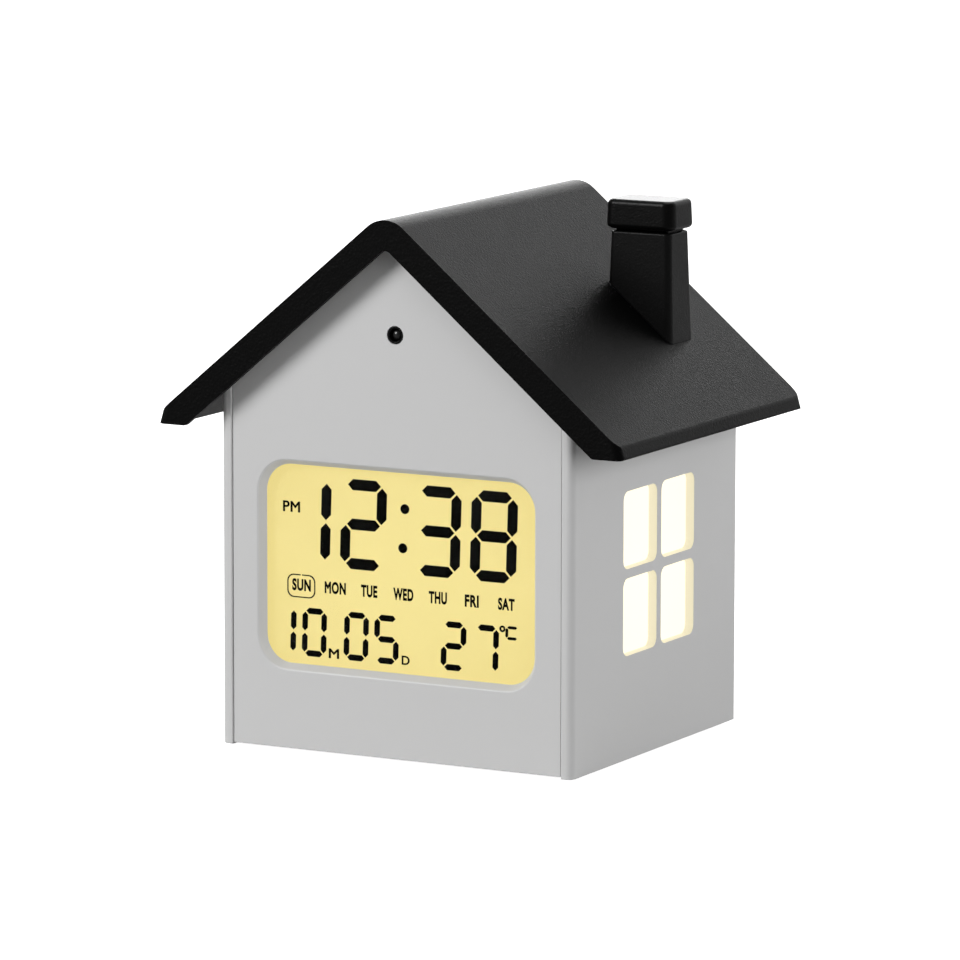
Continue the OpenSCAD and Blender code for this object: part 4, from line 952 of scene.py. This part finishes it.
class CLOCK_OT_controls(bpy.types.Operator):
    """Finish the rear keys and the alarm switch, and print their words"""

    bl_idname = "clock.controls"
    bl_label = "Rear controls"

    def execute(self, context):
        edges = settings().edges
        lettering = settings().lettering
        dark = dark_plastic()
        pale = print_material("pale_print", (0.7, 0.7, 0.69), 0.1)
        back = COVER_HIGH.y
        words = bmesh.new()
        for key in KEYS:
            low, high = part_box(f"{key}_button")
            middle = (low + high) / 2
            top = high.y - FACE_SLACK
            button = soften(
                merged_copy(f"{key}_button"), edges.key, segments=4, where=lambda a, b: min(a.y, b.y) > top)
            self.dish(button, top)
            add_piece(button, f"{key}_key", dark, f"{key}_key", "dark_plastic", f"{key}_button")
            dress(dark, f"{key}_actuator")
            word = word_mesh(key.upper(), None, lettering.rear_height, lettering.rear_relief)
            merge_into(words, word, facing_back(middle.x, back, middle.z - KEY_WORD_DROP))
            if key in ("up", "down"):
                sign = self.sign(key == "up")
                bmesh.ops.transform(
                    sign, matrix=facing_back(middle.x, high.y - KEY_DISH, middle.z), verts=sign.verts)
                add_piece(sign, f"{key}_sign", pale, f"{key}_key", "white_plastic")
        low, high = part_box("alarm_switch_knob")
        knob = soften(
            merged_copy("alarm_switch_knob"), edges.small * 2, where=lambda a, b: min(a.y, b.y) > back)
        add_piece(knob, "alarm_grip", dark, SLIDER, "dark_plastic", "alarm_switch_knob")
        switch = (low + high) / 2
        for text, x, z in SWITCH_WORDS:
            word = word_mesh(text, None, lettering.rear_height, lettering.rear_relief)
            merge_into(words, word, facing_back(x * MM, back, switch.z + z * MM))
        grey = print_material("grey_print", (0.09, 0.09, 0.092), 0.2)
        add_piece(words, "rear_words", grey, CASE, "dark_plastic")
        dress(plated_steel(), "button_switches", "alarm_switch_body")
        dress(dark, "buzzer")
        return {"FINISHED"}

    def dish(self, button, top):
        """Sinks the middle of a key's face behind a sloped rim."""
        outer = [f for f in button.faces if f.calc_center_median().y > top]
        face = max(outer, key=lambda f: f.calc_area())
        bmesh.ops.inset_individual(button, faces=[face], thickness=KEY_RIM, depth=-KEY_DISH)

    def sign(self, upright):
        """A minus sign, or a plus sign if upright, with its back at Z 0."""
        bm = bmesh.new()
        bmesh.ops.create_cube(bm, size=1.0)
        bmesh.ops.scale(bm, verts=bm.verts, vec=(SIGN_WIDTH, SIGN_WIDTH, SIGN_RELIEF))
        bmesh.ops.translate(bm, verts=bm.verts, vec=(0, 0, SIGN_RELIEF / 2))
        for face in [f for f in bm.faces if abs(f.normal.z) < MAINLY]:
            if upright or abs(face.normal.x) > MAINLY:
                away = face.normal * SIGN_ARM
                tip = bmesh.ops.extrude_discrete_faces(bm, faces=[face])["faces"][0]
                bmesh.ops.translate(bm, verts=tip.verts[:], vec=away)
        return bm


class CLOCK_OT_power(bpy.types.Operator):
    """Make the cells and their contact springs, and finish the battery bay"""

    bl_idname = "clock.power"
    bl_label = "Battery bay"

    def execute(self, context):
        low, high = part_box("battery_cells")
        diameter = high.y - low.y
        pitch = (high.z - low.z - diameter) / (CELL_COUNT - 1)
        spring_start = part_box("battery_springs")[0].x
        cells = bmesh.new()
        springs = bmesh.new()
        for i in range(CELL_COUNT):
            centre = Vector((0, (low.y + high.y) / 2, low.z + diameter / 2 + i * pitch))
            place = Matrix.Translation(centre) @ Matrix.Rotation(math.pi * (i % 2), 4, "Z")
            merge_into(cells, self.cell(diameter / 2, high.x), place)
            merge_into(springs, self.spring(spring_start), place)
        sleeve = jacket_material("cell_sleeve", (0.03, 0.03, 0.035))
        band = jacket_material("cell_band", (0.55, 0.3, 0.1))
        jackets = [sleeve, band, plated_steel()]
        add_piece(cells, "cell_set", jackets, CASE, "cell_jacket", "battery_cells")
        add_piece(springs, "contact_springs", plated_steel(), CASE, "steel", "battery_springs")
        dress(plated_steel(), "battery_contacts")
        dress(dark_plastic(), "battery_tray")
        return {"FINISHED"}

    def cell(self, radius, nub_end):
        """One cell along X, with its nub at nub_end: sleeve, band and steel ends."""
        bm = bmesh.new()
        back = nub_end - CELL_LENGTH * MM
        profile = [(back + away * MM, part * radius) for away, part in FLAT_END]
        profile += [(nub_end - away * MM, part * radius) for away, part in NUB_END]
        verts = [bm.verts.new((x, r, 0)) for x, r in profile]
        edges = [bm.edges.new(pair) for pair in zip(verts, verts[1:])]
        bmesh.ops.spin(
            bm, geom=verts + edges, cent=(0, 0, 0), axis=(1, 0, 0), angle=2 * math.pi, steps=CELL_STEPS,
            use_merge=True)
        bmesh.ops.remove_doubles(bm, verts=bm.verts, dist=JOIN_DISTANCE)
        sleeve_start = back + SLEEVE_START * MM
        sleeve_end = nub_end - BAND_START * MM
        band_end = nub_end - BAND_END * MM
        for face in bm.faces:
            x = face.calc_center_median().x
            rim = max(math.hypot(v.co.y, v.co.z) for v in face.verts) > JACKET_SHARE * radius
            face.material_index = 2
            if rim and sleeve_start < x < band_end:
                face.material_index = 0 if x < sleeve_end else 1
        return bm

    def spring(self, start):
        """One contact spring along X, wound from a round wire."""
        bm = bmesh.new()
        steps = int(COIL_TURNS * COIL_STEPS)
        bmesh.ops.create_circle(bm, radius=WIRE_RADIUS, segments=WIRE_STEPS)
        bmesh.ops.translate(bm, verts=bm.verts, vec=(start + WIRE_RADIUS, COIL_RADIUS, 0))
        bmesh.ops.spin(
            bm, geom=bm.verts[:] + bm.edges[:], cent=(0, 0, 0), axis=(1, 0, 0),
            dvec=(COIL_RUN / steps, 0, 0), angle=COIL_TURNS * 2 * math.pi, steps=steps)
        bmesh.ops.holes_fill(bm, edges=[e for e in bm.edges if e.is_boundary])
        return bm


class CLOCK_OT_works(bpy.types.Operator):
    """Finish the circuit boards, the screws and the feet"""

    bl_idname = "clock.works"
    bl_label = "Boards, screws and feet"

    def execute(self, context):
        edges = settings().edges
        dress(board_material(), "main_board", "button_board", "snooze_board")
        dress(dark_plastic(), "control_chip")
        steel = plated_steel()
        dress(steel, "clock_crystal")
        for node in ("rear_screws", "roof_screws", "main_board_screws", "button_board_screws"):
            screws = soften(merged_copy(node), edges.small, segments=2)
            add_piece(screws, f"{node}_plated", steel, CASE, "steel", node)
        feet = soften(merged_copy("rubber_feet"), edges.foot)
        add_piece(feet, "soft_feet", rubber(), CASE, "rubber", "rubber_feet")
        return {"FINISHED"}


class CLOCK_OT_stage(bpy.types.Operator):
    """Set up the pale floor, the soft lights and the camera"""

    bl_idname = "clock.stage"
    bl_label = "Stage"

    def execute(self, context):
        stage = settings().stage
        scene = context.scene
        scene.view_settings.view_transform = "Standard"
        bm = bmesh.new()
        bmesh.ops.create_grid(bm, x_segments=1, y_segments=1, size=FLOOR_REACH)
        floor = to_object(bm, "floor", [self.floor_material()])
        self.world(scene)
        self.soft_light("key_light", KEY_PLACE, stage.key_power)
        fill = self.soft_light("fill_light", FILL_PLACE, stage.fill_power)
        fill.visible_glossy = False
        card = self.soft_light("top_card", CARD_PLACE, stage.card_power)
        card.visible_diffuse = False
        self.camera(scene)
        return {"FINISHED"}

    def floor_material(self):
        """Pale floor that looks bright to the camera and throws back little light."""
        material, tree, shader = new_material("pale_floor")
        path = tree.nodes.new("ShaderNodeLightPath")
        split = tree.nodes.new("ShaderNodeSeparateXYZ")
        link(tree, coordinates(tree), split.inputs[0])
        bounce = new_node(
            tree, "ShaderNodeMapRange", from_min=FLOOR_FRONT[0], to_min=FLOOR_FRONT[1],
            from_max=FLOOR_BACK[0], to_max=FLOOR_BACK[1])
        link(tree, split.outputs["Y"], bounce.inputs["Value"])
        tone = new_node(tree, "ShaderNodeMapRange", to_max=settings().stage.floor_tone)
        link(tree, bounce.outputs[0], tone.inputs["To Min"])
        link(tree, path.outputs["Is Camera Ray"], tone.inputs["Value"])
        link(tree, tone.outputs[0], shader.inputs["Base Color"])
        link(tree, path.outputs["Is Camera Ray"], shader.inputs["Emission Strength"])
        set_inputs(shader, emission_color=(1, 1, 1, 1), roughness=0.9)
        shader.inputs["Specular IOR Level"].default_value = 0.1
        return material

    def world(self, scene):
        """Studio surround: bright behind the clock, dim in front, pale where the camera sees it."""
        world = bpy.data.worlds.new("studio")
        scene.world = world
        world.use_nodes = True
        tree = world.node_tree
        tree.nodes.clear()
        total = tree.nodes.new("ShaderNodeMath")
        for i, (direction, start, strength) in enumerate(SURROUND):
            cosine = cosine_to(tree, coordinates(tree, "Generated"), Vector(direction).normalized())
            glow = smooth_range(tree, cosine, from_min=start, to_min=DIM_SURROUND / 2, to_max=strength)
            link(tree, glow, total.inputs[i])
        around = tree.nodes.new("ShaderNodeBackground")
        link(tree, total.outputs[0], around.inputs["Strength"])
        seen = tree.nodes.new("ShaderNodeBackground")
        seen.inputs["Strength"].default_value = SEEN_SURROUND
        for background in (around, seen):
            background.inputs["Color"].default_value = (1, 1, 1, 1)
        path = tree.nodes.new("ShaderNodeLightPath")
        choose = tree.nodes.new("ShaderNodeMixShader")
        link(tree, path.outputs["Is Camera Ray"], choose.inputs[0])
        link(tree, around.outputs[0], choose.inputs[1])
        link(tree, seen.outputs[0], choose.inputs[2])
        leave = tree.nodes.new("ShaderNodeOutputWorld")
        link(tree, choose.outputs[0], leave.inputs["Surface"])

    def soft_light(self, name, place, power):
        """A soft light that faces the clock from its place."""
        direction, distance, size = place
        light = bpy.data.lights.new(name, "AREA")
        light.shape = "RECTANGLE"
        light.size, light.size_y = size
        light.energy = power
        holder = bpy.data.objects.new(name, light)
        bpy.context.scene.collection.objects.link(holder)
        away = Vector(direction).normalized()
        holder.location = LIT_POINT + away * distance
        holder.rotation_mode = "QUATERNION"
        holder.rotation_quaternion = (-away).to_track_quat("-Z", "Y")
        holder.visible_camera = False
        return holder

    def camera(self, scene):
        """A long lens at the photograph's angle."""
        stage = settings().stage
        data = bpy.data.cameras.new("camera")
        data.lens = stage.focal
        data.sensor_width = SENSOR_WIDTH
        data.clip_end = VIEW_END
        camera = bpy.data.objects.new("camera", data)
        scene.collection.objects.link(camera)
        forward = Vector((
            -math.sin(stage.yaw) * math.cos(stage.pitch), math.cos(stage.yaw) * math.cos(stage.pitch),
            -math.sin(stage.pitch)))
        right = Vector((math.cos(stage.yaw), math.sin(stage.yaw), 0))
        up = right.cross(forward)
        turned = right * math.cos(stage.roll) + up * math.sin(stage.roll)
        upright = turned.cross(forward)
        axes = Matrix((turned, upright, -forward)).transposed()
        camera.matrix_world = Matrix.Translation(stage.place) @ axes.to_4x4()
        scene.camera = camera


class CLOCK_PT_dressing(bpy.types.Panel):
    """Sidebar panel with one button for each group of pieces"""

    bl_idname = "CLOCK_PT_dressing"
    bl_label = "House Clock"
    bl_space_type = "VIEW_3D"
    bl_region_type = "UI"
    bl_category = "House Clock"

    def draw(self, context):
        for operator in OPERATORS:
            self.layout.operator(operator.bl_idname)
        for group in ("edges", "finish", "lettering", "stage"):
            box = self.layout.box()
            values = getattr(settings(), group)
            for name in values.bl_rna.properties.keys():
                if name not in ("rna_type", "name"):
                    box.prop(values, name)


OPERATORS = (
    CLOCK_OT_case, CLOCK_OT_roof, CLOCK_OT_display, CLOCK_OT_windows, CLOCK_OT_sensor, CLOCK_OT_controls,
    CLOCK_OT_power, CLOCK_OT_works, CLOCK_OT_stage,
)
GROUPS = (EdgeSettings, FinishSettings, LetteringSettings, StageSettings, ClockSettings)


def register():
    """Registers the settings, the operators and the panel."""
    for item in (*GROUPS, *OPERATORS, CLOCK_PT_dressing):
        bpy.utils.register_class(item)
    bpy.types.Scene.house_clock = bpy.props.PointerProperty(type=ClockSettings)


def unregister():
    """Takes the settings, the operators and the panel away again."""
    del bpy.types.Scene.house_clock
    for item in reversed((*GROUPS, *OPERATORS, CLOCK_PT_dressing)):
        bpy.utils.unregister_class(item)


def main():
    """Dresses the clock."""
    register()
    for operator in OPERATORS:
        group, name = operator.bl_idname.split(".")
        getattr(getattr(bpy.ops, group), name)()


if __name__ == "__main__":
    main()
